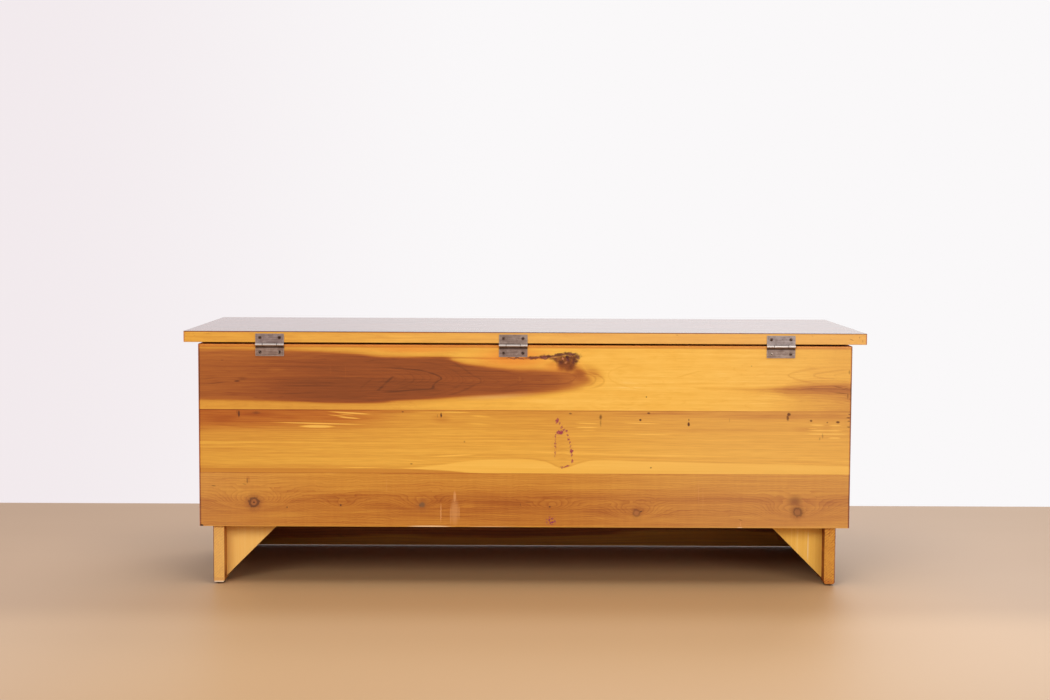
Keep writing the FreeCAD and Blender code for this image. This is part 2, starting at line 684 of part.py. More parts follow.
def make_front():
    """The front wall: mitred at both ends, with the lock let into its top board."""
    right_end = (
        ("core_half", "core_front"),
        ("mitre_x + spline_half", "mitre_y - spline_half"),
        ("mitre_x + spline_half - spline_run", "mitre_y - spline_half - spline_run"),
        ("mitre_x - spline_half - spline_run", "mitre_y + spline_half - spline_run"),
        ("mitre_x - spline_half", "mitre_y + spline_half"),
        ("inner_half", "inner_front"),
    )
    left_end = tuple((f"-({x})", y) for x, y in reversed(right_end))
    for place, low, high in wall_levels("front"):
        board = plank(f"front_board_{place}", right_end + left_end, low, high)
        if place == "bottom":
            far = "(inner_half + floor_groove_depth)"
            box(board, (f"-{far}", far), ("inner_front - floor_groove_depth", "inner_front"),
                ("floor_rim_bottom", "floor_top"))
        if place == "top":
            box(board, ("-lock_half", "lock_half"), ("lock_front", "inner_front"), ("lock_bottom", "case_top"))
            box(board, ("-lock_ear_half", "lock_ear_half"), ("lock_plate_y", "inner_front"),
                ("lock_bottom + lock_ear_margin", "case_top - lock_ear_margin"))
            rod(board, ("0", "core_front", "lock_z"), "+y", "barrel_radius + screw_clearance",
                "lock_front - core_front")
            for at in LOCK_SCREWS:
                screw_hole(board, "small_screw", at, "-y")
        keep(board, f"front_board_{place}")


def make_corner_splines():
    """The loose tongues in the two front mitres."""
    splines = []
    for side, sign in LEFT_AND_RIGHT:
        corners = ((-1, -1), (1, -1), (1, 1), (-1, 1))
        outline = [
            (f"{sign} * (mitre_x + {along} * spline_half + {across} * spline_run)",
             f"mitre_y - {along} * spline_half + {across} * spline_run")
            for along, across in corners
        ]
        splines.append(plank(f"spline_{side}", outline, "case_bottom", "case_top"))
    group("corner_splines", splines)


def make_case_veneers():
    """Veneer over the front wall and both end walls. It hides the end grain of the back wall."""
    for side, sign in LEFT_AND_RIGHT:
        outline = rectangle((f"{sign} * core_half", f"{sign} * case_half"), ("core_front", "rear_y"))
        keep(plank(f"{side}_veneer", outline, "case_bottom", "case_top"), f"{side}_veneer")
    outline = rectangle(("-case_half", "case_half"), ("case_front", "core_front"))
    veneer = plank("front_veneer", outline, "case_bottom", "case_top")
    rod(veneer, ("0", "case_front", "lock_z"), "+y", "barrel_radius + screw_clearance", "case_veneer_thickness")
    keep(veneer, "front_veneer")


FLOOR_BOARDS = 4


def make_floor():
    """The floor of the chest: tongued boards whose thinned rim lies in a groove of the walls."""
    width = f"((floor_rear - floor_front) / {FLOOR_BOARDS})"
    for index in range(FLOOR_BOARDS):
        near = f"floor_front + {index} * {width}"
        far = f"floor_front + {index + 1} * {width}"
        if index == 0:
            near_edge = (
                ("floor_front", "floor_top"),
                ("floor_front", "floor_rim_bottom"),
                ("inner_front + floor_clearance", "floor_rim_bottom"),
                ("inner_front + floor_clearance", "case_bottom"),
            )
        else:
            deep = f"{near} + floor_tongue_length + floor_clearance"
            near_edge = (
                (near, "floor_top"),
                (near, "floor_tongue_top"),
                (deep, "floor_tongue_top"),
                (deep, "floor_tongue_bottom"),
                (near, "floor_tongue_bottom"),
                (near, "case_bottom"),
            )
        if index == FLOOR_BOARDS - 1:
            far_edge = (
                ("inner_rear - floor_clearance", "case_bottom"),
                ("inner_rear - floor_clearance", "floor_rim_bottom"),
                ("floor_rear", "floor_rim_bottom"),
                ("floor_rear", "floor_top"),
            )
        else:
            proud = f"{far} + floor_tongue_length"
            far_edge = (
                (far, "case_bottom"),
                (far, "floor_tongue_bottom"),
                (proud, "floor_tongue_bottom"),
                (proud, "floor_tongue_top"),
                (far, "floor_tongue_top"),
                (far, "floor_top"),
            )
        board = plank(f"floor_board_{index + 1}", near_edge + far_edge, "-floor_half", "floor_half", plane="YZ")
        for low, high in (("-floor_half", "-floor_shoulder"), ("floor_shoulder", "floor_half")):
            box(board, (low, high), ("floor_front", "floor_rear"), ("case_bottom", "floor_rim_bottom"))
        keep(board, f"floor_board_{index + 1}")


# ---------------------------------------------------------------------------------------------
# Plinth
# ---------------------------------------------------------------------------------------------

def make_plinth_boards():
    """Two full-depth end boards mitred to a front board. The rear stays open."""
    for side, sign in LEFT_AND_RIGHT:
        outline = (
            (f"{sign} * base_inner", "base_inner_front"),
            (f"{sign} * base_outer", "base_core_front"),
            (f"{sign} * base_outer", "base_rear"),
            (f"{sign} * base_inner", "base_rear"),
        )
        board = plank(f"base_{side}_board", outline, "glide_thickness", "case_bottom")
        foot = both(lies_at("z", "glide_thickness"), runs_along("y"))
        ease(board, "Chamfer", "outer_foot_chamfer", both(foot, lies_at("x", f"{sign} * base_outer")))
        ease(board, "Chamfer", "foot_chamfer", both(foot, lies_at("x", f"{sign} * base_inner")))
        for y in glide_lines():
            rod(board, (f"{sign} * glide_x", y, "glide_thickness"), "+z",
                "glide_nail_radius + screw_clearance", "glide_nail_length + screw_clearance")
        keep(board, f"base_{side}_board")
    outline = (
        ("-base_outer", "base_core_front"),
        ("base_outer", "base_core_front"),
        ("base_inner", "base_inner_front"),
        ("-base_inner", "base_inner_front"),
    )
    board = plank("base_front_board", outline, "glide_thickness", "case_bottom")
    ease(board, "Chamfer", "outer_foot_chamfer",
         both(lies_at("z", "glide_thickness"), lies_at("y", "base_core_front")))
    keep(board, "base_front_board")


def glide_lines():
    return ("base_core_front + glide_inset", "base_rear - glide_inset")


def make_plinth_veneers():
    """Veneer over the plinth, cut back to the chamfer along its foot."""
    foot = "glide_thickness + outer_foot_chamfer"
    pieces = []
    for side, sign in LEFT_AND_RIGHT:
        outline = (
            (f"{sign} * base_outer", foot),
            (f"{sign} * base_half", "glide_thickness + foot_chamfer"),
            (f"{sign} * base_half", "case_bottom"),
            (f"{sign} * base_outer", "case_bottom"),
        )
        pieces.append(plank(f"base_veneer_{side}", outline, "base_core_front", "base_rear", plane="XZ"))
    group("base_end_veneers", pieces)
    outline = (
        ("base_core_front", foot),
        ("base_front", "glide_thickness + foot_chamfer"),
        ("base_front", "case_bottom"),
        ("base_core_front", "case_bottom"),
    )
    keep(plank("base_front_veneer", outline, "-base_half", "base_half", plane="YZ"), "base_front_veneer")


def make_gussets():
    """Sloping corner braces at the rear ends of the plinth."""
    for side, sign in LEFT_AND_RIGHT:
        outline = (
            (f"{sign} * base_inner", "case_bottom"),
            (f"{sign} * (base_inner - gusset_leg)", "case_bottom"),
            (f"{sign} * base_inner", "case_bottom - gusset_leg"),
        )
        brace = plank(f"gusset_{side}", outline, "gusset_rear - gusset_thickness", "gusset_rear", plane="XZ")
        level = number("gusset_leg")

        def on_slope(start, end):
            return abs(abs(start.x - end.x) - level) < 1e-4 and abs(abs(start.z - end.z) - level) < 1e-4

        ease(brace, "Fillet", "gusset_edge_radius", on_slope)
        keep(brace, f"gusset_{side}")


def make_glue_blocks():
    """Blocks glued in the plinth's front corners and along the back of its front board."""
    blocks = []
    for side, sign in LEFT_AND_RIGHT:
        outline = (
            (f"{sign} * base_inner", "base_inner_front"),
            (f"{sign} * base_inner", "base_inner_front + glue_block_width"),
            (f"{sign} * (base_inner - glue_block_edge)", "base_inner_front + glue_block_width"),
            (f"{sign} * (base_inner - glue_block_width)", "base_inner_front + glue_block_edge"),
            (f"{sign} * (base_inner - glue_block_width)", "base_inner_front"),
        )
        blocks.append(plank(f"corner_block_{side}", outline, "glide_thickness + glue_block_rise", "case_bottom"))
    section = (
        ("base_inner_front", "case_bottom"),
        ("base_inner_front", "case_bottom - strip_block_width"),
        ("base_inner_front + strip_block_width", "case_bottom"),
    )
    for place in (-1, 0, 1):
        middle = f"{place} * strip_block_spacing"
        blocks.append(plank("strip_block", section, f"{middle} - strip_block_length / 2",
                            f"{middle} + strip_block_length / 2", plane="YZ"))
    group("base_glue_blocks", blocks)


def make_glides():
    """Nail glides under the four ends of the plinth's side boards."""
    outline = turned_outline("glide_outline", (
        ("0", "0"),
        ("glide_radius - glide_edge", "0"),
        ("glide_radius", "glide_edge"),
        ("glide_radius", "glide_thickness"),
        ("glide_nail_radius", "glide_thickness"),
        ("glide_nail_radius", "glide_thickness + glide_nail_length - 2 * glide_nail_radius"),
        ("0", "glide_thickness + glide_nail_length"),
    ))
    group("nail_glides", [
        turn(outline, (f"{sign} * glide_x", y, "0"), "+z")
        for _, sign in LEFT_AND_RIGHT
        for y in glide_lines()
    ])


# ---------------------------------------------------------------------------------------------
# Lid
# ---------------------------------------------------------------------------------------------

def make_lid_boards():
    for index, place in enumerate(LID_BOARDS):
        outline = rectangle(("-lid_core_half", "lid_core_half"), (lid_seam(index), lid_seam(index + 1)))
        board = plank(f"lid_board_{place}", outline, "lid_bottom", "lid_core_top")
        if place == "rear":
            ease(board, "Fillet", "lid_edge_radius", both(lies_at("z", "lid_bottom"), lies_at("y", "rear_y")))
            for at in LID_LEAF_SCREWS:
                screw_hole(board, "hinge_screw", at, "-y")
        for at in STRIKE_SCREWS if index < 2 else BRACKET_SCREWS:
            screw_hole(board, "small_screw", at, "+z")
        for at in BATTEN_SCREWS[index]:
            screw_hole(board, "batten_screw", at, "+z")
        keep(board, f"lid_board_{place}")


def make_lid_facings():
    """The dark top sheet, and strips along the front and the ends. The rear edge stays bare."""
    outline = rectangle(("-lid_half", "lid_half"), ("lid_front", "rear_y"))
    sheet = plank("lid_top_veneer", outline, "lid_core_top", "lid_top")
    ease(sheet, "Fillet", "lid_top_radius", lies_at("z", "lid_top"))
    keep(sheet, "lid_top_veneer")

    outline = rectangle(("-lid_core_half", "lid_core_half"), ("lid_front", "lid_front + lid_edging_thickness"))
    strip = plank("lid_front_edging", outline, "lid_bottom", "lid_core_top")
    ease(strip, "Fillet", "lid_edge_radius", both(lies_at("z", "lid_bottom"), lies_at("y", "lid_front")))
    keep(strip, "lid_front_edging")

    strips = []
    for side, sign in LEFT_AND_RIGHT:
        outline = rectangle((f"{sign} * lid_core_half", f"{sign} * lid_half"), ("lid_front", "rear_y"))
        strip = plank(f"lid_edging_{side}", outline, "lid_bottom", "lid_core_top")
        ease(strip, "Fillet", "lid_edge_radius", both(lies_at("z", "lid_bottom"), lies_at("x", f"{sign} * lid_half")))
        strips.append(strip)
    group("lid_end_edgings", strips)


def make_battens():
    """Two cleats across the underside that keep the lid flat."""
    battens = []
    for side, sign in LEFT_AND_RIGHT:
        left = f"{sign} * batten_offset - batten_width / 2"
        right = f"{sign} * batten_offset + batten_width / 2"
        outline = (
            (left, "lid_bottom"),
            (left, "batten_bottom + batten_chamfer"),
            (f"{left} + batten_chamfer", "batten_bottom"),
            (f"{right} - batten_chamfer", "batten_bottom"),
            (right, "batten_bottom + batten_chamfer"),
            (right, "lid_bottom"),
        )
        batten = plank(f"batten_{side}", outline, "batten_front", "batten_rear", plane="XZ")
        column = 0 if side == "left" else 1
        for line in BATTEN_SCREWS:
            screw_hole(batten, "batten_screw", line[column], "+z", sunk=True)
        battens.append(batten)
    group("lid_battens", battens)


def make_bumpers():
    """Rubber discs under the lid's front corners, over the rims of the end walls."""
    thickness = "lid_gap - bumper_clearance"
    outline = turned_outline("bumper_outline", (
        ("0", "0"),
        ("bumper_radius - bumper_edge", "0"),
        ("bumper_radius", "bumper_edge"),
        ("bumper_radius", thickness),
        ("0", thickness),
    ))
    group("lid_bumpers", [
        turn(outline, (f"{sign} * mitre_x", "case_front + bumper_inset", "case_top + bumper_clearance"), "+z")
        for _, sign in LEFT_AND_RIGHT
    ])


# ---------------------------------------------------------------------------------------------
# Hinges. Each leaf is drawn about its own pin: X along the pin, the wood at y = -axis_out.
# ---------------------------------------------------------------------------------------------

def make_leaf(node, hinge_x, sign):
    """One leaf. The case leaf (sign -1) has the middle knuckle, the lid leaf (sign 1) the outer two."""
    body = new_body(node)
    half = "hinge_length / 2"
    inner = "middle_knuckle_length / 2"
    outer = f"{inner} + knuckle_gap"
    back = f"{sign} * (knuckle_radius + knuckle_notch)"
    edge = f"{sign} * leaf_reach"
    if sign < 0:
        notch = f"{inner}"
        outline = (
            (f"-({half})", edge), (f"-({half})", back), (f"-({notch})", back), (f"-({notch})", "0"),
            (notch, "0"), (notch, back), (half, back), (half, edge),
        )
        knuckles = ((f"-({inner})", "middle_knuckle_length"),)
    else:
        notch = outer
        rim = "axis_drop + knuckle_clearance"
        outline = (
            (f"-({half})", edge), (f"-({half})", rim), (f"-({notch})", rim), (f"-({notch})", back),
            (notch, back), (notch, rim), (half, rim), (half, edge),
        )
        knuckles = ((f"-({half})", f"{half} - ({outer})"), (outer, f"{half} - ({outer})"))
    sketch = sketch_on(body, "XZ", "axis_out - leaf_thickness")
    draw(sketch, outline)
    pad(body, sketch, "leaf_thickness")
    corner = both(runs_along("y"), lies_at("z", edge))
    ease(body, "Fillet", "leaf_corner_radius", corner)
    for start, length in knuckles:
        rod(body, (start, "0", "0"), "+x", "knuckle_radius", length, cut=False)
    rod(body, (f"-({half})", "0", "0"), "+x", "hinge_pin_radius + pin_clearance", "hinge_length")
    for side in (-1, 1):
        place = (f"{side} * leaf_screw_spacing / 2", "leaf_thickness - axis_out", f"{sign} * leaf_screw_reach")
        screw_hole(body, "hinge_screw", place, "-y", sunk=True)
    move(body, (hinge_x, "axis_y", "axis_z"))
    keep(body, node)


def make_hinges():
    for place, hinge_x in HINGES:
        make_leaf(f"hinge_{place}_case_leaf", hinge_x, -1)
        make_leaf(f"hinge_{place}_lid_leaf", hinge_x, 1)
    pin = turned_outline("pin_outline", (
        ("0", "0"), ("hinge_pin_radius", "0"), ("hinge_pin_radius", "hinge_length"), ("0", "hinge_length"),
    ))
    group("hinge_pins", [
        turn(pin, (f"{hinge_x} - hinge_length / 2", "axis_y", "axis_z"), "+x")
        for _, hinge_x in HINGES
    ])


# ---------------------------------------------------------------------------------------------
# Lid stay, inside the right end wall
# ---------------------------------------------------------------------------------------------

def make_stay_arm():
    """A flat slotted arm, drawn hanging from its upper pivot and then tilted to the stud."""
    body = new_body("stay_arm")
    sketch = sketch_on(body, "YZ", "0")
    draw_round_bar(sketch, "0", "-arm_open_reach - slot_clearance", "arm_width / 2")
    pad(body, sketch, "arm_thickness")
    slot = sketch_on(body, "YZ", "0")
    draw_round_bar(slot, "-slot_top", "-arm_open_reach - slot_clearance", "stud_radius + slot_clearance")
    pocket_through(body, slot)
    rod(body, ("0", "0", "0"), "+x", "rivet_radius + 2 * pin_clearance", "arm_thickness")
    body.Placement.Rotation = FreeCAD.Rotation(FreeCAD.Vector(1, 0, 0), 1)
    bind(body, "Placement.Rotation.Angle", "arm_tilt")
    move(body, ("arm_left", "stay_pivot_y", "stay_pivot_z"))
    keep(body, "stay_arm")


def make_stay_stud():
    """The plate on the end wall and the headed stud that the arm slides over."""
    outline = rectangle(
        ("stud_y - stud_plate_width / 2", "stud_y + stud_plate_width / 2"),
        ("stud_z - stud_plate_height / 2", "stud_z + stud_plate_height / 2"),
    )
    body = plank("stay_wall_stud", outline, "inner_half - stud_plate_thickness", "inner_half", plane="YZ")
    ease(body, "Fillet", "stay_corner_radius", runs_along("x"))
    start = "bracket_right - stud_head_thickness"
    rod(body, (start, "stud_y", "stud_z"), "+x", "stud_radius",
        f"inner_half - stud_plate_thickness - ({start})", cut=False)
    rod(body, (start, "stud_y", "stud_z"), "+x", "stud_head_radius", "stud_head_thickness", cut=False)
    for at in STUD_SCREWS:
        screw_hole(body, "small_screw", at, "+x", sunk=True)
    keep(body, "stay_wall_stud")


def make_stay_bracket():
    """The angle bracket under the lid that carries the arm's pivot."""
    leg = rectangle(
        ("stay_pivot_y - bracket_leg_width / 2", "stay_pivot_y + bracket_leg_width / 2"),
        ("stay_pivot_z", "lid_bottom"),
    )
    body = plank("stay_lid_bracket", leg, "bracket_left", "bracket_right", plane="YZ")
    rod(body, ("bracket_left", "stay_pivot_y", "stay_pivot_z"), "+x", "bracket_leg_width / 2",
        "bracket_thickness", cut=False)
    box(body, ("bracket_left - bracket_foot_width", "bracket_right"),
        ("stay_pivot_y - bracket_foot_length / 2", "stay_pivot_y + bracket_foot_length / 2"),
        ("lid_bottom - bracket_thickness", "lid_bottom"), cut=False)
    ease(body, "Fillet", "stay_corner_radius",
         both(runs_along("z"), lies_at("x", "bracket_left - bracket_foot_width")))
    rod(body, ("bracket_left", "stay_pivot_y", "stay_pivot_z"), "+x", "rivet_radius + pin_clearance",
        "bracket_thickness")
    for at in BRACKET_SCREWS:
        screw_hole(body, "small_screw", at, "+z", sunk=True)
    keep(body, "stay_lid_bracket")


def make_stay_rivet():
    """The rivet through the bracket and the arm."""
    length = "arm_right + stay_clearance - bracket_left"
    outline = turned_outline("rivet_outline", (
        ("0", "-rivet_head_thickness"),
        ("rivet_head_radius", "-rivet_head_thickness"),
        ("rivet_head_radius", "0"),
        ("rivet_radius", "0"),
        ("rivet_radius", length),
        ("rivet_head_radius", length),
        ("rivet_head_radius", f"{length} + rivet_head_thickness"),
        ("0", f"{length} + rivet_head_thickness"),
    ))
    keep(turn(outline, ("bracket_left", "stay_pivot_y", "stay_pivot_z"), "+x"), "stay_rivet")


# ---------------------------------------------------------------------------------------------
# Chest lock. A turn of the plug slides the bolt, whose two hooks enter staples on the lid.
# ---------------------------------------------------------------------------------------------

def make_lock_case():
    """A sheet box let into the front wall, open towards the wood, with a rail for the bolt."""
    inner_half = "(lock_half - lock_plate_thickness)"
    body = plank("lock_case", rectangle(("-lock_half", "lock_half"), ("lock_front", "inner_front")),
                 "lock_bottom", "case_top")
    box(body, (f"-{inner_half}", inner_half), ("lock_front", "lock_plate_y"),
        ("lock_bottom + lock_plate_thickness", "case_top - lock_plate_thickness"))
    box(body, (f"-{inner_half}", inner_half), ("rail_front", "lock_plate_y"),
        ("bolt_foot - lock_clearance - rail_height / 2", "bolt_foot - lock_clearance + rail_height / 2"), cut=False)
    box(body, (f"-{inner_half}", inner_half), ("bolt_front", "lock_plate_y"),
        ("bolt_foot - lock_clearance - rail_height / 2", "bolt_foot - lock_clearance"), cut=False)
    box(body, ("-lock_ear_half", "lock_ear_half"), ("lock_plate_y", "inner_front"),
        ("lock_bottom + lock_ear_margin", "case_top - lock_ear_margin"), cut=False)
    end = number("lock_ear_half")
    ease(body, "Fillet", "strike_corner_radius",
         both(runs_along("y"), lambda start, stop: abs(abs(start.x) - end) < 1e-4))
    for side in (-1, 1):
        middle = f"{side} * staple_spacing / 2"
        box(body, (f"{middle} - staple_thickness / 2 - staple_play", f"{middle} + staple_thickness / 2 + staple_play"),
            ("bolt_y - staple_width / 2 - staple_play", "bolt_y + staple_width / 2 + staple_play"),
            ("case_top - lock_plate_thickness", "case_top"))
    for at in LOCK_SCREWS:
        screw_hole(body, "small_screw", at, "-y", sunk=True)
    keep(body, "lock_case")


def make_lock_barrel():
    """The fixed sleeve of the cylinder, with its collar on the face of the chest."""
    face = "case_front"
    outline = turned_outline("barrel_outline", (
        ("plug_radius + plug_clearance", "-collar_thickness"),
        ("collar_radius - collar_edge", "-collar_thickness"),
        ("collar_radius", "collar_edge - collar_thickness"),
        ("collar_radius", "0"),
        ("barrel_radius", "0"),
        ("barrel_radius", f"lock_front - {face}"),
        ("plug_radius + plug_clearance", f"lock_front - {face}"),
    ))
    keep(turn(outline, ("0", face, "lock_z"), "+y"), "lock_barrel")


def make_lock_plug():
    """The turning plug with its keyway, and the disc and pin that drive the bolt."""
    body = new_body("lock_plug")
    start = "case_front - collar_thickness"
    rod(body, ("0", start, "lock_z"), "+y", "plug_radius", f"disc_front - ({start})", cut=False)
    rod(body, ("0", "disc_front", "lock_z"), "+y", "crank_disc_radius", "crank_disc_thickness", cut=False)
    rod(body, ("-crank_x", "disc_front", "lock_z + crank_z"), "+y", "crank_pin_radius",
        "bolt_rear + lock_clearance - disc_front", cut=False)
    box(body, ("-keyway_width / 2", "keyway_width / 2"), (start, f"{start} + keyway_depth"),
        ("lock_z - keyway_height / 2", "lock_z + keyway_height / 2"))
    keep(body, "lock_plug")


def make_lock_bolt():
    """A sliding plate with two hooks. At rest the hooks are clear of the staples: unlocked."""
    left_hook = "left_tip - prong_length"
    right_hook = "right_tip - prong_length"
    outline = (
        (f"{left_hook} - hook_width", "bolt_foot"),
        (f"{right_hook} + bolt_tail", "bolt_foot"),
        (f"{right_hook} + bolt_tail", "bolt_plate_top"),
        (right_hook, "bolt_plate_top"),
        (right_hook, "prong_bottom"),
        ("right_tip", "prong_bottom"),
        ("right_tip", "prong_top"),
        (f"{right_hook} - hook_width", "prong_top"),
        (f"{right_hook} - hook_width", "bolt_plate_top"),
        (left_hook, "bolt_plate_top"),
        (left_hook, "prong_bottom"),
        ("left_tip", "prong_bottom"),
        ("left_tip", "prong_top"),
        (f"{left_hook} - hook_width", "prong_top"),
    )
    body = plank("lock_bolt", outline, "bolt_front", "bolt_rear", plane="XZ")
    play = "crank_pin_radius + crank_pin_slack"
    box(body, (f"-crank_x - ({play})", f"-crank_x + {play}"), ("bolt_front", "bolt_rear"),
        (f"lock_z + crank_z - ({play})", f"lock_z + crank_radius + {play}"))
    keep(body, "lock_bolt")


def make_lock_strike():
    """The plate under the lid with the two staples that drop into the lock."""
    outline = rectangle(
        ("-strike_length / 2", "strike_length / 2"),
        ("bolt_y - strike_width / 2", "bolt_y + strike_width / 2"),
    )
    body = plank("lock_strike", outline, "strike_bottom", "lid_bottom")
    ease(body, "Fillet", "strike_corner_radius", runs_along("z"))
    for side in (-1, 1):
        left = f"{side} * staple_spacing / 2 - staple_thickness / 2"
        right = f"{side} * staple_spacing / 2 + staple_thickness / 2"
        box(body, (left, right), ("bolt_y - staple_width / 2", "bolt_y + staple_width / 2"),
            ("staple_foot", "strike_bottom"), cut=False)
        box(body, (left, right), ("bolt_front - eye_play", "bolt_rear + eye_play"),
            ("eye_bottom", "eye_bottom + staple_eye_height"))
    for at in STRIKE_SCREWS:
        screw_hole(body, "small_screw", at, "+z", sunk=True)
    keep(body, "lock_strike")


# ---------------------------------------------------------------------------------------------
# Screws
# ---------------------------------------------------------------------------------------------

def make_screws():
    hinge = screw_outline("hinge_screw")
    group("hinge_screws_case", [turn(hinge, at, "-y") for at in CASE_LEAF_SCREWS])
    group("hinge_screws_lid", [turn(hinge, at, "-y") for at in LID_LEAF_SCREWS])
    batten = screw_outline("batten_screw")
    group("batten_screws", [turn(batten, at, "+z") for line in BATTEN_SCREWS for at in line])
    small = screw_outline("small_screw")
    group("small_screws_case", [turn(small, at, "-y") for at in LOCK_SCREWS]
          + [turn(small, at, "+x") for at in STUD_SCREWS])
    group("small_screws_lid", [turn(small, at, "+z") for at in STRIKE_SCREWS + BRACKET_SCREWS])


# ---------------------------------------------------------------------------------------------
# Build, check and write
# ---------------------------------------------------------------------------------------------

make_back()
make_ends()
make_front()
make_corner_splines()
make_case_veneers()
make_floor()
make_plinth_boards()
make_plinth_veneers()
make_gussets()
make_glue_blocks()
make_glides()
make_lid_boards()
make_lid_facings()
make_battens()
make_bumpers()
make_hinges()
make_stay_arm()
make_stay_stud()
make_stay_bracket()
make_stay_rivet()
make_lock_case()
make_lock_barrel()
make_lock_plug()
make_lock_bolt()
make_lock_strike()
make_screws()

doc.recompute()

faults = [thing.Label for thing in doc.Objects if {"Invalid", "Error"} & set(thing.State)]
for part in subparts:
    if part.Shape.isNull() or not part.Shape.isValid() or not part.Shape.Solids:
        faults.append(part.Label)
if faults:
    raise SystemExit("These objects failed: " + ", ".join(faults))

os.makedirs("parts", exist_ok=True)
for part in subparts:
    part.Shape.exportStep(f"parts/{part.Label}.step")
    print(f"{part.Label:26} solids {len(part.Shape.Solids):2}  volume {part.Shape.Volume:12.1f}")

stay = {name: round(number(name), 3) for name in ("stay_pivot_y", "stay_pivot_z", "stud_y", "stud_z")}
print("hinge axis y, z:", round(number("axis_y"), 3), round(number("axis_z"), 3))
print("stay pivots:", stay)
print("bolt throw:", round(2 * number("crank_x"), 4))
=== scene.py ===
# %% [markdown]
# # A cedar blanket chest: wood, veneer and hardware
#
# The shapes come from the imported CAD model. This script dresses them: every board gets its own
# cut of cedar, the veneers get gloss, the hardware gets worn metal, and the plain screws of the
# CAD model are replaced by slotted ones.

# %% Load the model
import math
import random
from functools import reduce

import bmesh
import bpy
from mathutils import Matrix, Vector


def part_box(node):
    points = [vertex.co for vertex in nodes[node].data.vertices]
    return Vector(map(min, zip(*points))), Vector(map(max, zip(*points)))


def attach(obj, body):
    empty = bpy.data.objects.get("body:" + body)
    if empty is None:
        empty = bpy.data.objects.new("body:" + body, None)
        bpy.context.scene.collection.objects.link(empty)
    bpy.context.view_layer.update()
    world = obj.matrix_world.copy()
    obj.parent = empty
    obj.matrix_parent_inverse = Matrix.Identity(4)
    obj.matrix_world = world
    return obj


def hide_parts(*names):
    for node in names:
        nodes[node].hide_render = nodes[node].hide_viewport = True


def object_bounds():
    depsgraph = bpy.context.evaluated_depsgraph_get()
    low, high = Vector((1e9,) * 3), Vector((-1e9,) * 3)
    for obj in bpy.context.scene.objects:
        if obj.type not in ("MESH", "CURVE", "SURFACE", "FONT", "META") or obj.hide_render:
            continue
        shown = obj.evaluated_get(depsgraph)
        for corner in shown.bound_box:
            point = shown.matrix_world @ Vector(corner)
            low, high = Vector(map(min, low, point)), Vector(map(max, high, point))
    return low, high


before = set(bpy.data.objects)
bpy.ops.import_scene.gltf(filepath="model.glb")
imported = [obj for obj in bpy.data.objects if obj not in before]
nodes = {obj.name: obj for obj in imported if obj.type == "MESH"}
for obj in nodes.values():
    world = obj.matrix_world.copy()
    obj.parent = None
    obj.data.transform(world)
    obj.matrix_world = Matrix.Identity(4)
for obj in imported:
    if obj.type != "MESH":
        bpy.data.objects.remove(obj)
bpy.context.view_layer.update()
MM = 0.001
print("CAD nodes:", len(nodes))

# %% [markdown]
# ## Places on the chest
# Patterns are drawn in the chest's own metres, so a few places are measured first. The rear face
# of the case and the rear edge of the lid lie in one plane, and the hinge pins share one axis.

# %% Measure places
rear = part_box("back_board_top")[1].y
case_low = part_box("back_board_bottom")[0].z
seam_low, seam_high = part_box("back_board_middle")[0].z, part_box("back_board_middle")[1].z
lid_low, lid_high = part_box("lid_board_rear")[0].z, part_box("lid_top_veneer")[1].z
veneer_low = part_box("lid_top_veneer")[0].z
plinth_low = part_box("base_left_board")[0].z
floor_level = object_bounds()[0].z
pin_low, pin_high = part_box("hinge_pins")
axis_y, axis_z = (pin_low.y + pin_high.y) / 2, (pin_low.z + pin_high.z) / 2
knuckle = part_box("hinge_left_lid_leaf")[1].y - axis_y
print(f"rear face {rear:.4f}, hinge axis {axis_y:.4f}, {axis_z:.4f}, knuckle radius {knuckle:.4f}")

# %% [markdown]
# ## Shader nodes written as formulas
# A wood pattern needs a lot of arithmetic, and a node for each plus sign is hard to read. `Field`
# wraps a socket, so `a * 2 + b` makes the two math nodes for it.

# %% Colours and fields
def srgb(red, green, blue, alpha=1.0):
    """A display colour, 0 to 255, as the linear colour that a socket takes."""
    def linear(value):
        value /= 255
        return value / 12.92 if value <= 0.04045 else ((value + 0.055) / 1.055) ** 2.4
    return (linear(red), linear(green), linear(blue), alpha)


class Field:
    """A value or colour socket that can be used in a formula."""

    def __init__(self, net, socket):
        self.net = net
        self.socket = socket

    def __add__(self, other): return self.net.math("ADD", self, other)
    def __sub__(self, other): return self.net.math("SUBTRACT", self, other)
    def __rsub__(self, other): return self.net.math("SUBTRACT", other, self)
    def __mul__(self, other): return self.net.math("MULTIPLY", self, other)
    def __truediv__(self, other): return self.net.math("DIVIDE", self, other)
    def __pow__(self, other): return self.net.math("POWER", self, other)


# %% [markdown]
# `Net` is a node tree with short calls for the few nodes that the materials use. A curve node
# takes (input, output) points: it is how the edge between red heartwood and pale sapwood is drawn.

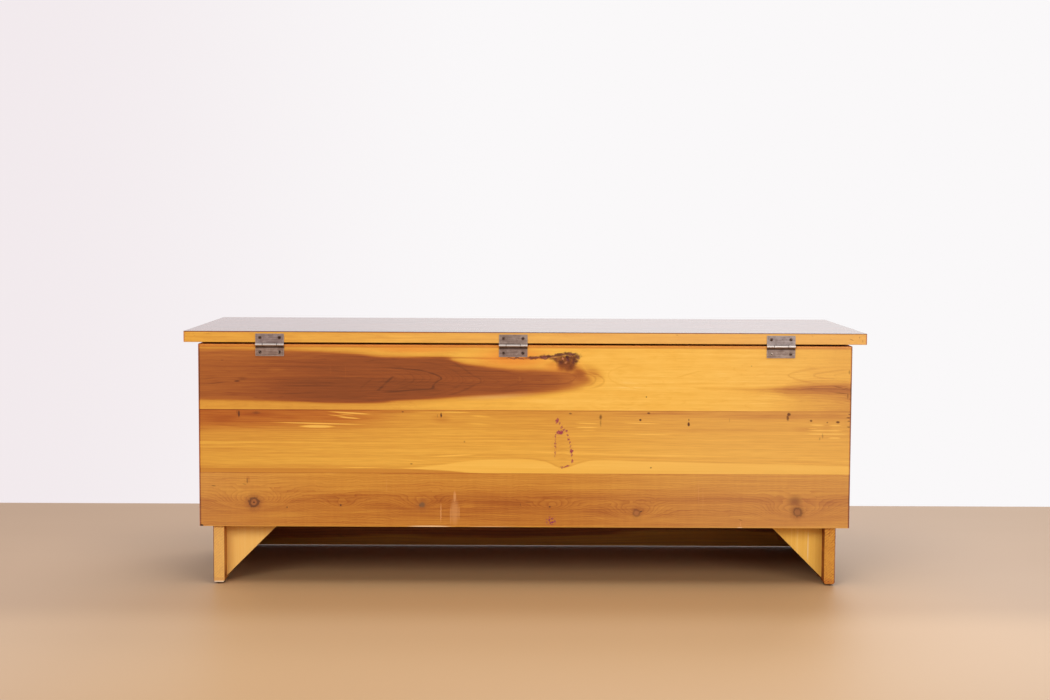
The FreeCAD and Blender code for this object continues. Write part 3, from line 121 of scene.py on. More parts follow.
# %% Short calls for nodes
class Net:
    """A node tree, with short calls for the nodes that the materials use."""

    def __init__(self, tree):
        self.tree = tree

    def feed(self, socket, value):
        if isinstance(value, Field):
            self.tree.links.new(value.socket, socket)
        else:
            socket.default_value = value

    def feed_named(self, made, **values):
        """Feeds sockets by their names, with _ for a space. Returns the first output."""
        for name, value in values.items():
            self.feed(made.inputs[name.replace("_", " ")], value)
        return Field(self, made.outputs[0])

    def node(self, kind, *values, **settings):
        """A node with its settings. The values go to its first sockets, in order."""
        made = self.tree.nodes.new(kind)
        for name, value in settings.items():
            setattr(made, name, value)
        for socket, value in zip(made.inputs, values):
            self.feed(socket, value)
        return made

    def outputs(self, kind, *values, **settings):
        return [Field(self, socket) for socket in self.node(kind, *values, **settings).outputs]

    def math(self, operation, *values): return self.outputs("ShaderNodeMath", *values, operation=operation)[0]
    def root(self, value): return self.math("SQRT", value)
    def abs(self, value): return self.math("ABSOLUTE", value)
    def fract(self, value): return self.math("FRACT", value)
    def most(self, a, b): return self.math("MAXIMUM", a, b)
    def strongest(self, fields): return reduce(self.most, fields)
    def vector(self, x, y, z): return self.outputs("ShaderNodeCombineXYZ", x, y, z)[0]
    def split(self, vector): return self.outputs("ShaderNodeSeparateXYZ", vector)

    def place(self):
        """Where a point is on the chest, in metres."""
        return self.split(Field(self, self.node("ShaderNodeTexCoord").outputs["Object"]))

    def normal(self):
        """Which way the surface faces, as x, y and z of the piece, so it turns with the lid."""
        facing = Field(self, self.node("ShaderNodeNewGeometry").outputs["Normal"])
        turn = {"vector_type": "NORMAL", "convert_from": "WORLD", "convert_to": "OBJECT"}
        return self.split(self.outputs("ShaderNodeVectorTransform", facing, **turn)[0])

    def noise(self, place, detail=2.0, roughness=0.5, distortion=0.0):
        """Cloudy noise, read at an (x, y, z)."""
        made = self.node("ShaderNodeTexNoise", self.vector(*place))
        return self.feed_named(made, Scale=1.0, Detail=detail, Roughness=roughness, Distortion=distortion)

    def smooth(self, value, low, high, start=0.0, end=1.0):
        """Goes smoothly from start to end while value goes from low to high."""
        return self.outputs(
            "ShaderNodeMapRange", value, low, high, start, end, interpolation_type="SMOOTHSTEP")[0]

    def line(self, value, edge, core=0.0):
        """A soft line where value is 0. It is full within core of 0 and gone past edge."""
        return self.smooth(self.abs(value), edge, core)

    def curve(self, value, points, unit=1.0):
        """A smooth line through (input, output) points, both in the given unit."""
        points = sorted((x * unit, y * unit) for x, y in points)
        low, high = points[0][0], points[-1][0]
        floor, top = min(y for x, y in points), max(y for x, y in points)
        span, rise = high - low, max(top - floor, 1e-6)
        ready = [((x - low) / span, (y - floor) / rise) for x, y in points]
        made = self.node("ShaderNodeFloatCurve")
        line = made.mapping.curves[0]
        line.points[0].location, line.points[-1].location = ready[0], ready[-1]
        for point in ready[1:-1]:
            line.points.new(*point)
        for point in line.points:
            point.handle_type = "AUTO"
        made.mapping.update()
        return self.feed_named(made, Value=(value - low) / span) * rise + floor

    def ramp(self, value, stops):
        """A colour for each value, blended between (position, colour) stops."""
        made = self.node("ShaderNodeValToRGB", value)
        elements = made.color_ramp.elements
        elements[0].position, elements[0].color = stops[0]
        elements[1].position, elements[1].color = stops[-1]
        for position, colour in stops[1:-1]:
            elements.new(position).color = colour
        return Field(self, made.outputs[0])

    def mix(self, amount, first, second):
        made = self.node("ShaderNodeMix", data_type="RGBA", clamp_factor=True)
        for index, value in ((0, amount), (6, first), (7, second)):
            self.feed(made.inputs[index], value)
        return Field(self, made.outputs[2])

    def coats(self, colour, pairs):
        """The colour under one coat after another, each an (amount, colour) pair."""
        for amount, coat in pairs:
            colour = self.mix(amount, colour, coat)
        return colour

    def use(self, group, *values):
        """A group node, given its inputs in order. Returns its outputs in order."""
        return self.outputs("ShaderNodeGroup", *values, node_tree=group)


# %% [markdown]
# ## Groups and materials
# An effect that several materials share is a node group with named sockets, built once. A material
# holds the one Principled shader, and plain numbers go straight onto its sockets.

# %% Start a group or a material
def new_group(name, inputs, outputs):
    """An empty node group: its net, its input fields, and a call that sets its outputs.

    Inputs and outputs are names with commas between. All are numbers, apart from a Colour.
    """
    tree = bpy.data.node_groups.new(name, "ShaderNodeTree")
    for side, labels in (("INPUT", inputs), ("OUTPUT", outputs)):
        for label in labels.split(", "):
            kind = "NodeSocketColor" if label == "Colour" else "NodeSocketFloat"
            tree.interface.new_socket(name=label, in_out=side, socket_type=kind)
    net = Net(tree)
    source = net.node("NodeGroupInput")

    def close(*values):
        net.node("NodeGroupOutput", *values)
        print("group", name, "has", len(tree.nodes), "nodes")
        return tree

    return net, [Field(net, source.outputs[label]) for label in inputs.split(", ")], close


def empty_net(owner):
    """The net of a new material or world, with nothing in it."""
    owner.use_nodes = True
    owner.node_tree.nodes.clear()
    return Net(owner.node_tree)


def new_material(name):
    """The net of a material, with one Principled shader that reaches its output."""
    material = bpy.data.materials.new(name)
    net = empty_net(material)
    net.material, net.shader = material, net.node("ShaderNodeBsdfPrincipled")
    net.node("ShaderNodeOutputMaterial", Field(net, net.shader.outputs[0]))
    return net


def finish_material(net, **values):
    net.feed_named(net.shader, **values)
    return net.material


def bump(net, height, strength, distance):
    return net.feed_named(net.node("ShaderNodeBump"), Height=height, Strength=strength, Distance=distance)


# %% [markdown]
# ### Mark
# Flecks, bruises, drops of ink and stains are all soft ellipses. A mark could be painted on an
# image, but then it would blur up close. A formula stays sharp at any distance.

# %% Mark group
def make_mark():
    net, (along, across, x, z, half_x, half_z, tilt, soft), close = new_group(
        "Mark", "Along, Across, X, Z, Half X, Half Z, Tilt, Soft", "Mask")
    dx = along - x
    dz = across - z - dx * tilt
    a, b = dx / half_x, dz / half_z
    return close(net.smooth(net.root(a * a + b * b), 1.0, 1 - soft))


MARK = make_mark()


def marks(net, along, across, rows):
    """The strongest of several marks.

    A row is x, z, half x and half z in millimetres, softness, strength, and a tilt if it has one.
    """
    return net.strongest([
        net.use(MARK, along, across, x * MM, z * MM, half_x * MM, half_z * MM, sum(tilt), soft)[0] * strength
        for x, z, half_x, half_z, soft, strength, *tilt in rows])


# %% [markdown]
# ### Knot
# A knot is a branch cut across. The grain flows round it, so the group gives a lift that bends the
# growth rings, a core, a dark rim and a stained halo.

# %% Knot group
def make_knot():
    net, (along, across, x, z, radius, reach_x, reach_z), close = new_group(
        "Knot", "Along, Across, X, Z, Radius, Reach X, Reach Z", "Lift, Core, Rim, Halo")
    dx, dz = along - x, across - z
    ragged = net.noise((along * 190, across * 190, 0.0), 3.0, 0.6) * 0.9 + 0.55
    a, b = dx / reach_x, dz / reach_z
    lift = net.math("EXPONENT", 0.0 - (a * a + b * b))
    distance = net.root(dx * dx + dz * dz) / radius * ragged
    core = net.smooth(distance, 1.0, 0.70)
    rim = net.line(distance - 1.0, 0.44, 0.10)
    halo = net.smooth(distance, 2.9, 0.8)
    return close(lift, core, rim, halo)


KNOT = make_knot()

# %% [markdown]
# ### Fibre
# All wood has long thin fibres. Noise that is stretched along the grain gives them, here at four
# widths, from slow waves of a few centimetres to threads of about a millimetre.

# %% Fibre group
def make_fibre():
    net, (along, across, depth, seed), close = new_group(
        "Fibre", "Along, Across, Depth, Seed", "Bands, Streaks, Fine, Slow")

    def layer(a, b, detail, twist, gain):
        noise = net.noise((along * a + seed, across * b + seed * 3, depth * b), detail, 0.6, twist)
        return (noise - 0.5) * gain

    return close(layer(2.0, 110.0, 2.0, 0.1, 4.0), layer(6.0, 330.0, 2.0, 0.0, 4.0),
                 layer(24.0, 700.0, 1.0, 0.0, 4.0), layer(2.4, 16.0, 2.0, 0.3, 3.5))


FIBRE = make_fibre()

# %% [markdown]
# ### Cedar colour
# Red heartwood, golden heartwood and sapwood are points of one scale. One number, the tone, picks
# a colour from it, so that a pattern only has to say lighter or darker. Flush adds a little red.

# %% Cedar colour group
def make_cedar_colour():
    net, (tone, flush), close = new_group("Cedar colour", "Tone, Flush", "Colour")
    colour = net.ramp(tone, [
        (0.00, srgb(56, 24, 10)), (0.12, srgb(102, 46, 14)), (0.25, srgb(139, 69, 25)),
        (0.38, srgb(170, 97, 37)), (0.50, srgb(194, 125, 48)), (0.62, srgb(211, 147, 58)),
        (0.74, srgb(225, 165, 66)), (0.86, srgb(239, 182, 76)), (0.94, srgb(246, 193, 89)),
        (1.00, srgb(250, 208, 124)),
    ])
    return close(net.mix(flush, colour, srgb(192, 86, 36)))


CEDAR = make_cedar_colour()


def finish_cedar(net, tone, fine, bands, flush=0.0, stains=(), rough=0.42):
    """Colour, sheen and a trace of relief from a cedar tone. Stains are (amount, colour) pairs."""
    colour = net.coats(net.use(CEDAR, tone, flush)[0], stains)
    return finish_material(net, Base_Color=colour, Roughness=fine * 0.04 + rough, Specular_IOR_Level=0.28,
                           Normal=bump(net, fine + bands * 0.5, 0.12, 0.0004))


# %% [markdown]
# ### Growth lines
# Where a board is cut nearly along the rings, single dark lines run round the tip of the
# heartwood like contour lines. Such a line turns back on itself, so it can't be read as a height
# for each x. It is read the other way round: an x for each height. Where the line runs almost
# level, that x moves fast, so the line is drawn as much wider there.

# %% Growth line helper
def growth_line(net, x, z, rows, thick):
    """A dark line through (x, z) points in millimetres. It fades at both ends."""
    ready = sorted((row_z, row_x) for row_x, row_z in rows)
    widths = []
    for index, (level, _) in enumerate(ready):
        before, after = ready[max(index - 1, 0)], ready[min(index + 1, len(ready) - 1)]
        slope = (after[1] - before[1]) / (after[0] - before[0])
        widths.append((level, thick * math.sqrt(1 + slope * slope)))
    away = net.abs(x - net.curve(z, ready, MM)) / net.curve(z, widths, MM)
    low, high = ready[0][0] * MM, ready[-1][0] * MM
    ends = net.smooth(z, low, low + 0.0015) * net.smooth(z, high, high - 0.0015)
    return net.smooth(away, 1.2, 0.2) * ends


def growth_lines(net, x, z, rows):
    """Several growth lines. A row is strength, thickness and points."""
    return net.strongest([
        growth_line(net, x, z, points, thick) * strength for strength, thick, points in rows])


# %% [markdown]
# ## Boards whose edge or face shows bare
# Three boards make the back, and one shows the lid's edge. They all start alike: a material, the
# place, a mask of the rear face and the fibres. Effects that belong only there use that mask.

# %% Start and edges of a board
BOARD_END = 0.5824


def start_board(name, seed):
    """The net of a board whose rear face shows, its place, a mask of that face, and its fibres."""
    net = new_material(name)
    x, y, z = net.place()
    return net, (x, y, z), net.smooth(y, rear - 0.003, rear - 0.001), net.use(FIBRE, x, z, y, seed)


def end_shade(net, x):
    """The dark of the corner where a board of the back meets the veneer of an end."""
    return net.smooth(net.abs(x), BOARD_END - 0.0022, BOARD_END) * 0.36


# %% [markdown]
# ## The top board of the back
# This board shows most, so its figure is listed in detail. A tongue of red heartwood narrows from one end
# and stops under a pocket of bark. First come the edges of the heartwood, as two curves.

# %% Heartwood of the top board
def heart_edges(net, x):
    """The upper and the lower edge of the heartwood, as heights along the board."""
    upper = net.curve(x, [
        (-590, 371), (-126, 371), (-112, 380), (-89, 386), (-50, 388.5), (9, 389), (45, 392), (76, 395.5),
        (109, 400), (130, 406), (145, 410), (187, 410.5), (223, 411), (260, 412.5), (301, 416), (348, 418.5),
        (425, 421), (508, 423), (590, 423)], MM)
    lower = net.curve(x, [
        (-590, 370), (-126, 366), (-100, 358), (-63, 353), (-9, 348.5), (43, 345.5), (114, 342), (168, 337.8),
        (223, 334.5), (280, 330.5), (348, 330.4), (425, 332.4), (508, 334), (590, 335)], MM)
    return upper, lower


HEART_LINES = (
    (0.13, 1.8, ((253, 393.3), (225, 391), (193, 388.4), (164, 381.4), (150.4, 373.3), (156, 369.5),
                 (164, 362), (168, 355.3), (190, 353.5), (226, 350.6), (253, 347.5))),
    (0.11, 2.5, ((236, 377.5), (247, 367.5), (259, 355.6), (264, 351))),
    (0.04, 2.2, ((276, 371), (286, 363), (295, 355))),
    (0.08, 1.8, ((9, 386.5), (-35, 385.5), (-72, 383.5), (-89.3, 378.8), (-84, 371), (-72, 366), (-40, 364),
                 (0, 362))),
    (0.06, 2, ((128, 402), (112, 392), (94, 379), (80, 369.5), (92, 362), (112, 352), (138, 344))),
    (0.03, 1.8, ((190, 403), (150, 396), (122, 383), (112, 371), (122, 359), (150, 348), (190, 342))),
    (0.03, 1.8, ((60, 390), (30, 384), (5, 374), (24, 362), (60, 354))),
    (0.03, 1.8, ((310, 400), (240, 398), (215, 388), (200, 374), (208, 362), (240, 352), (300, 346))),
)


def heart_tone(net, x, z, fibres, upper, lower):
    """Red heartwood with its growth lines, fine figure and a few bruises."""
    bands, streaks, fine, slow = fibres
    lines = growth_lines(net, x + slow * 0.0016, z + bands * 0.0005, HEART_LINES)
    broken = net.smooth(bands + slow, -0.7, 0.2)
    hair = net.line(net.noise((x * 5, (z + slow * 0.003) * 150, 3.0), 2.0, 0.6, 0.4) - 0.5, 0.04)
    half = net.most((upper - lower) * 0.5, 0.006)
    offset = (z - (upper + lower) * 0.5) / half
    turn = net.curve(x, [
        (-0.2, -1.4), (-0.141, 0), (-0.089, 1), (0.0786, 2), (0.15, 3), (0.2366, 4), (0.42, 5.2), (0.6, 5.8)])
    contour = net.fract((turn - offset * offset * 3.0 + slow * 0.10) * 5.5) ** 4 * net.smooth(x, 0.32, 0.20)
    heart = net.curve(x, [
        (-0.6, 0.4), (-0.11, 0.4), (-0.05, 0.31), (0.05, 0.28), (0.15, 0.27), (0.25, 0.265), (0.33, 0.25),
        (0.4, 0.265), (0.47, 0.3), (0.54, 0.335), (0.6, 0.35)])
    low_side = net.smooth(z, 0.380, 0.365) * net.smooth(x, 0.08, 0.25) * net.smooth(x, 0.50, 0.40)
    heart += net.smooth(z, 0.390, 0.418) * net.smooth(x, 0.25, 0.45) * 0.06 - low_side * 0.035
    heart += bands * 0.028 + streaks * 0.042 + slow * 0.028 + fine * 0.026
    heart -= lines * (broken * 0.7 + 0.3) + hair * 0.045 + contour * 0.045
    return heart + marks(net, x, z, (
        (445, 389, 24, 5, 0.95, 0.8), (321, 385, 1.6, 22, 0.9, 0.35), (348, 388, 3, 14, 0.9, 0.3),
        (560, 352, 40, 8, 0.95, 0.3), (10, 374, 3, 9, 0.9, 0.5))) * 0.08


# %% [markdown]
# The bark pocket is a lump of bark that the tree grew round. Its parts are marks read at places
# that noise has shifted, which makes their outlines ragged.

# %% Bark pocket
def bark_pocket(net, x, z, slow):
    """The stained wood round the pocket, as a mask, then the coats of the pocket itself."""
    rough_x = net.noise((x * 130, z * 130, 1.0), 3.0, 0.6) - 0.5
    rough_z = net.noise((x * 130, z * 130, 9.0), 3.0, 0.6) - 0.5
    here_x, here_z = x + rough_x * 0.014, z + rough_z * 0.008
    body = marks(net, here_x, here_z, (
        (-73, 404, 22, 14, 0.45, 1), (-84, 408, 12, 13, 0.5, 1), (-62, 409, 18, 8, 0.5, 0.95, -0.1),
        (-78, 394, 21, 9, 0.9, 0.85), (-44, 412, 18, 4, 0.8, 0.7, -0.08)))
    bark = marks(net, here_x, here_z, (
        (-80, 418.6, 18, 4.2, 0.6, 1, 0.03), (-60, 416.8, 20, 3.4, 0.6, 1, -0.11),
        (-94, 414, 8, 6, 0.7, 0.95), (-36, 413, 20, 4.8, 0.6, 1, -0.05),
        (-14, 411.5, 18, 3.8, 0.6, 0.95, -0.04), (16, 410.4, 24, 1.8, 0.6, 0.8),
        (-75.5, 411, 5, 8, 0.6, 1), (-88, 405, 7, 9, 0.9, 0.75), (-63, 403, 7, 5, 0.9, 0.6),
        (-50, 409.6, 9, 1.8, 0.7, 0.7, -0.1)))
    pale = marks(net, here_x, here_z, (
        (-50, 412, 12, 1, 0.6, 0.6, -0.06), (-66, 409.8, 3.6, 2.6, 0.6, 0.85, 0.8),
        (-72, 403.2, 2.8, 4, 0.8, 0.65), (-34, 411.6, 6, 0.8, 0.6, 0.4),
        (-82, 413.6, 3.4, 1.6, 0.8, 0.5, 0.5)))
    halo = marks(net, x + slow * 0.005, z, (
        (-78, 394, 26, 15, 0.9, 0.95), (-64, 395, 16, 12, 0.9, 0.9), (-96, 385, 26, 20, 0.95, 0.9, 0.25),
        (-106, 374, 26, 17, 0.95, 0.55), (-52, 399, 24, 10, 0.95, 0.35), (-118, 386, 30, 20, 0.95, 0.5, 0.3)))
    brown = net.mix(net.smooth(rough_z - rough_x, -0.16, 0.16), srgb(98, 46, 22), srgb(130, 68, 32))
    purple = net.mix(net.smooth(rough_x + rough_z, -0.12, 0.16), srgb(70, 30, 30), srgb(104, 50, 56))
    return halo, [(body * 0.95, brown), (bark * 0.92, purple), (pale, srgb(196, 128, 84))]


# %% [markdown]
# The sapwood of this board has its own figure: faint arches that open towards one end, and a
# brown streak with a fan of lines behind its point.

# %% Figure of the sapwood
ARCHES = (
    (0.13, 2.4, ((-560, 398), (-507, 392.8), (-482, 387), (-470.2, 382.2), (-480, 377), (-493, 372.6),
                 (-524, 366.5))),
    (0.13, 2.4, ((-580, 394), (-541, 388.5), (-522, 385), (-515.6, 382), (-524, 379), (-550, 375))),
    (0.07, 1.8, ((-582, 388), (-560, 384.6), (-552, 382.4), (-560, 380))),
    (0.07, 1.6, ((-317, 389.7), (-300, 386), (-285, 381.5), (-272, 377.4))),
    (0.05, 1.6, ((-215, 402), (-170, 395), (-152, 388), (-148, 380), (-156, 371), (-185, 360), (-220, 354))),
)


def streak_and_fan(net, x, z, bands, streaks, slow):
    """How much darker the brown streak, its core and the fan of lines behind it are."""
    middle = net.curve(x, [
        (-600, 354), (-581, 354.5), (-528, 358), (-474, 356), (-424, 356), (-385, 357), (-313, 358.5),
        (0, 359), (600, 359)], MM)
    width = net.curve(x, [
        (-600, 19), (-560, 18), (-500, 16), (-470, 12.5), (-445, 8), (-385, 4.5), (-300, 2.6),
        (600, 2.6)], MM)
    strength = net.curve(x, [
        (-0.6, 0.38), (-0.53, 0.37), (-0.48, 0.35), (-0.455, 0.28), (-0.42, 0.15), (-0.37, 0.1),
        (-0.32, 0.06), (-0.29, 0), (0.6, 0)])
    apart = net.abs(z - middle + net.smooth(x, -0.42, -0.47) * 0.0014 + slow * 0.0016 + streaks * 0.0012)
    streak = net.smooth(apart / width, 1.3, 0.1) * strength
    core = net.line(z - middle - 0.0005 + streaks * 0.001, 0.0018)
    core *= net.smooth(x, -0.40, -0.45) * net.smooth(x, -0.57, -0.50)
    fan = net.fract(apart * 1000 / 4.6 + x * 9 + slow * 0.5) ** 4
    fan *= net.smooth(x, -0.36, -0.46) * net.smooth(apart, 0.036, 0.018)
    return streak * (bands * 0.5 + 1) + core * 0.06 + fan * 0.11


# %% Sapwood of the top board
def top_sapwood(net, x, z, fibres, over, under):
    """Pale sapwood. It browns as it nears the heart, more so under the heart's thin end."""
    bands, streaks, fine, slow = fibres
    arches = growth_lines(net, x + slow * 0.003, z + bands * 0.0004, ARCHES)
    wave = net.line(net.noise((x * 9, z * 90, 6.0), 2.0, 0.6, 0.8) - 0.5, 0.035)
    cloud = net.noise((x * 24, z * 50, 12.0), 2.0, 0.6) - 0.5
    sap = net.curve(x, [
        (-0.6, 0.83), (-0.5, 0.87), (-0.35, 0.9), (-0.1, 0.885), (0.02, 0.83), (0.15, 0.8), (0.3, 0.775),
        (0.6, 0.77)])
    sap += bands * 0.032 + streaks * 0.040 + slow * 0.02 + fine * 0.026 + cloud * 0.12 - wave * 0.035
    sap -= arches * (net.smooth(bands + streaks, -0.6, 0.3) * 0.6 + 0.4)
    sap -= streak_and_fan(net, x, z, bands, streaks, slow) + net.smooth(x, -0.47, -0.575) * 0.05
    sap -= net.smooth(z, 0.352, 0.332) * net.smooth(x, -0.42, -0.53) * 0.13

    reach = net.curve(x, [(-600, 8), (-100, 10), (20, 13), (200, 12), (300, 7), (600, 5)], MM)
    near = net.smooth(over / reach, -1.0, 0.2) * net.smooth(under / 0.010, -1.0, 0.2)
    near *= net.smooth(x, -0.10, 0.0)
    warm = net.smooth(under, -0.010, 0.001) * net.smooth(x, 0.12, 0.40) * 0.10
    arcs = growth_lines(net, x, z, (
        (0.10, 2.2, ((-103, 388), (-122, 384), (-136, 377), (-140.6, 370.4), (-134, 363), (-108, 356))),
        (0.10, 2.0, ((-100, 386), (-116, 381), (-125, 375.7), (-122, 367), (-104, 361)))))
    return sap - near * 0.20 - warm - arcs


# %% [markdown]
# Then everything comes together in one tone: sapwood, heartwood between its two edges, the rim
# under the lid, and the marks that use has left.

# %% Material of the top board
RIM_LOW = 0.4288


def rim_shade(net, z, rim):
    """Painted shade under the lid: a redder band, the line that sets it off and the top face. Also the seam
    below.
    """
    upward = net.smooth(net.normal()[2], 0.5, 0.9)
    seam = net.smooth(z, seam_high + 0.0011, seam_high)
    return rim * 0.16 + net.line(z - RIM_LOW + 0.0001, 0.0012) * 0.18 + upward * 0.25 + seam * 0.24


def dark_thread(net, x, z, bands):
    """A thin dark thread that runs into the bark pocket."""
    height = net.curve(x, [
        (-600, 412), (-45, 412), (-20, 410.8), (9, 410), (48, 410.2), (109, 411), (223, 411.8),
        (600, 412)], MM)
    strength = net.curve(x, [(-0.6, 1), (0.03, 1), (0.06, 0.62), (0.15, 0.55), (0.3, 0), (0.6, 0)])
    return net.line(z - height + bands * 0.0005, 0.0028, 0.0004) * net.smooth(x, -0.05, -0.02) * strength


def back_top():
    net, (x, y, z), outer, fibres = start_board("cedar_back_top", 3.1)
    bands, streaks, fine, slow = fibres
    upper, lower = heart_edges(net, x)
    ruffle = slow * 0.0016 + streaks * 0.0012
    over, under = z - lower + ruffle, upper - z + ruffle
    blur = net.curve(x, [(-600, 9), (-80, 9), (50, 5.5), (140, 3.6), (200, 3), (600, 3)], MM)
    fade = net.curve(x, [
        (-0.6, 0), (-0.15, 0), (-0.136, 0.12), (-0.119, 0.38), (-0.102, 0.66), (-0.085, 0.92), (-0.07, 1),
        (0.6, 1)])
    inside = net.smooth(over / blur, -1, 1) * net.smooth(under / blur, -1, 1) * fade
    outside = 1 - inside

    heart, sap = heart_tone(net, x, z, fibres, upper, lower), top_sapwood(net, x, z, fibres, over, under)
    # The band under the lid is painted redder and darker, as shade from the lid.
    rim = net.smooth(z, RIM_LOW, RIM_LOW + 0.001)
    halo, pocket = bark_pocket(net, x, z, slow)
    tone = sap + inside * (heart - sap) - dark_thread(net, x, z, bands) * 0.42
    tone -= rim_shade(net, z, rim) + end_shade(net, x) + halo * 0.54 * (1 - inside * 0.75)

    dots = marks(net, x, z, (
        (515, 367.6, 7, 1.7, 0.7, 0.9, -0.05), (552, 364, 34, 1.1, 0.9, 0.6, -0.115),
        (566, 372, 20, 0.9, 0.9, 0.35, -0.1), (-216.5, 342, 1.4, 1.4, 0.5, 0.9),
        (541, 405, 3.5, 1, 0.7, 0.6, -0.1), (505, 372, 12, 5, 0.95, 0.3), (-404, 398, 1.6, 1.6, 0.7, 0.35),
        (-577, 345, 2.2, 8, 0.8, 0.45), (-579, 388, 2, 6, 0.8, 0.45), (-560, 361, 14, 1.3, 0.8, 0.5, 0.2),
        (-572, 358, 8, 1.1, 0.8, 0.5, -0.25), (-565, 350, 20, 1.4, 0.8, 0.45, 0.06))) * outer
    orange = marks(net, x, z, (
        (20, 410, 100, 28, 0.95, 0.8), (-60, 396, 60, 18, 0.95, 0.55), (200, 425, 130, 9, 0.95, 0.55)))
    patch = marks(net, x, z, ((50, 343, 90, 9, 0.95, 0.3, -0.06),))
    faded = net.most(net.smooth(x, -0.25, -0.55) * 0.14, patch)
    return finish_cedar(net, tone, fine, bands, inside * 0.05 + rim * 0.35, [
        (inside * 0.07, srgb(190, 140, 100)), (orange * outside * (1 - halo), srgb(232, 140, 54)),
        (faded * outside, srgb(230, 186, 132)), *pocket, (dots, srgb(84, 44, 26))])


# %% [markdown]
# ## The middle board of the back
# Golden heartwood, cut straight along the grain, over a long tongue of sapwood. A small burl in
# the sapwood bends the grain once. Pale flecks show where the planer lifted the grain.

# %% Marks of the middle board
PLANER_FLECKS = (
    (368, 291.8, 86, 0.95, 0.5, 1, 0.021), (371, 286.6, 33, 2.1, 0.45, 1, 0.008),
    (314, 311.2, 40, 1.2, 0.5, 1, 0.057), (315, 302.6, 21, 1.1, 0.5, 1, 0.085),
    (336, 306.5, 18, 0.8, 0.6, 0.8, 0.09), (320, 308.5, 16, 0.7, 0.6, 0.7, 0.09),
    (-112, 294, 24, 1, 0.6, 0.8, 0.03), (-110, 286.8, 22, 0.9, 0.5, 0.9), (-114, 281.7, 15, 0.7, 0.6, 0.7),
    (-206, 294.5, 38, 0.9, 0.6, 0.9, 0.02), (-226, 274.6, 38, 1, 0.6, 0.75, 0.01),
    (-523, 292.8, 14, 1.1, 0.5, 0.95, 0.01), (-555, 292.4, 12, 1, 0.5, 0.85),
    (-537, 282.6, 34, 1.2, 0.5, 1), (-541, 276.6, 42, 1.3, 0.5, 1), (-554, 269.6, 12, 1.2, 0.5, 0.95),
    (-515, 286.4, 10, 0.8, 0.6, 0.7), (127, 235, 44, 1.4, 0.7, 0.8, -0.06),
    (200, 226, 40, 0.9, 0.8, 0.55, 0.05), (40, 262, 90, 0.9, 0.9, 0.5, 0.01),
    (128, 313.2, 30, 1, 0.6, 0.8, 0.01), (80, 306, 22, 1.6, 0.9, 0.6, 0.05),
    (86, 292, 26, 2, 0.9, 0.5, 0.05), (292, 212.8, 40, 0.9, 0.6, 0.7), (190, 211.4, 30, 0.8, 0.6, 0.7),
)
BRUISES = (
    (511.8, 308.8, 1.8, 6, 0.6, 0.95), (515.2, 312, 0.7, 4, 0.7, 0.7), (150.4, 307.6, 1.4, 4.4, 0.6, 1),
    (157, 306.5, 0.6, 3, 0.7, 0.5), (481, 311, 8, 3.2, 0.9, 0.5), (219, 313.6, 2, 1.4, 0.7, 0.7),
    (-472, 311.5, 3.2, 3, 0.6, 0.9), (-470, 305.5, 2.4, 5.4, 0.7, 0.8, 0.35),
    (-292.7, 293.2, 2, 3.6, 0.5, 1), (-292.7, 301.2, 0.9, 2, 0.6, 0.8), (-135, 305.4, 2.6, 5, 0.8, 0.75),
    (-135, 295, 1.6, 7, 0.95, 0.45), (-220.8, 312.8, 2.6, 1.5, 0.6, 0.9), (-206.2, 300.6, 1.9, 1.8, 0.5, 1),
    (-512, 300.4, 2.2, 1.9, 0.6, 0.85), (-560, 298, 3.4, 1.9, 0.6, 0.9), (-541, 297.4, 1.6, 1.3, 0.6, 0.6),
    (-81, 311.6, 2.6, 1.4, 0.7, 0.7), (203.6, 219.8, 2.4, 1.2, 0.7, 0.6), (108.8, 260.1, 1.6, 2, 0.8, 0.4),
    (-226, 214.4, 1.6, 1.4, 0.7, 0.75), (-366, 300.6, 1, 4, 0.9, 0.25), (-533, 273, 1.6, 5, 0.9, 0.4, 0.4),
    (-528, 268, 1.4, 3, 0.9, 0.35, -0.4), (-579, 306, 4, 1.3, 0.8, 0.85), (-580, 300, 3.4, 1, 0.8, 0.75),
    (-579.5, 289.5, 3, 1.2, 0.8, 0.75), (-580.5, 312, 2.2, 1, 0.8, 0.75),
)
DYE_SPOTS = (
    (-57.4, 299, 3, 4.6, 0.5, 0.95, -0.5), (-61.5, 293.5, 1.5, 2.4, 0.6, 0.8, -0.6),
    (-65, 286.5, 2, 2.6, 0.6, 0.8, -0.5), (-69, 282, 2.2, 1.8, 0.6, 0.8), (-62.5, 277.8, 6.4, 3.4, 0.5, 1),
    (-73.8, 280, 1.9, 1.9, 0.5, 0.95), (-76, 272.5, 1.7, 2.4, 0.5, 0.95), (-78, 265.6, 1.9, 2.6, 0.5, 0.95),
    (-79.8, 259, 1.1, 2.4, 0.6, 0.8), (-81, 252.5, 1.1, 3, 0.6, 0.8), (-82.8, 243.8, 2.6, 4.2, 0.5, 1),
    (-83.4, 236, 1.2, 3.4, 0.6, 0.8), (-84.8, 226.2, 2, 3.2, 0.5, 1), (-54.2, 271, 0.8, 4, 0.6, 0.8),
    (-54, 257, 0.9, 9, 0.6, 0.85), (-53.6, 240, 0.9, 7, 0.6, 0.8), (-66, 214.6, 3, 1.7, 0.5, 1),
    (-73, 216.2, 7, 1.2, 0.5, 0.95, -0.22),
)
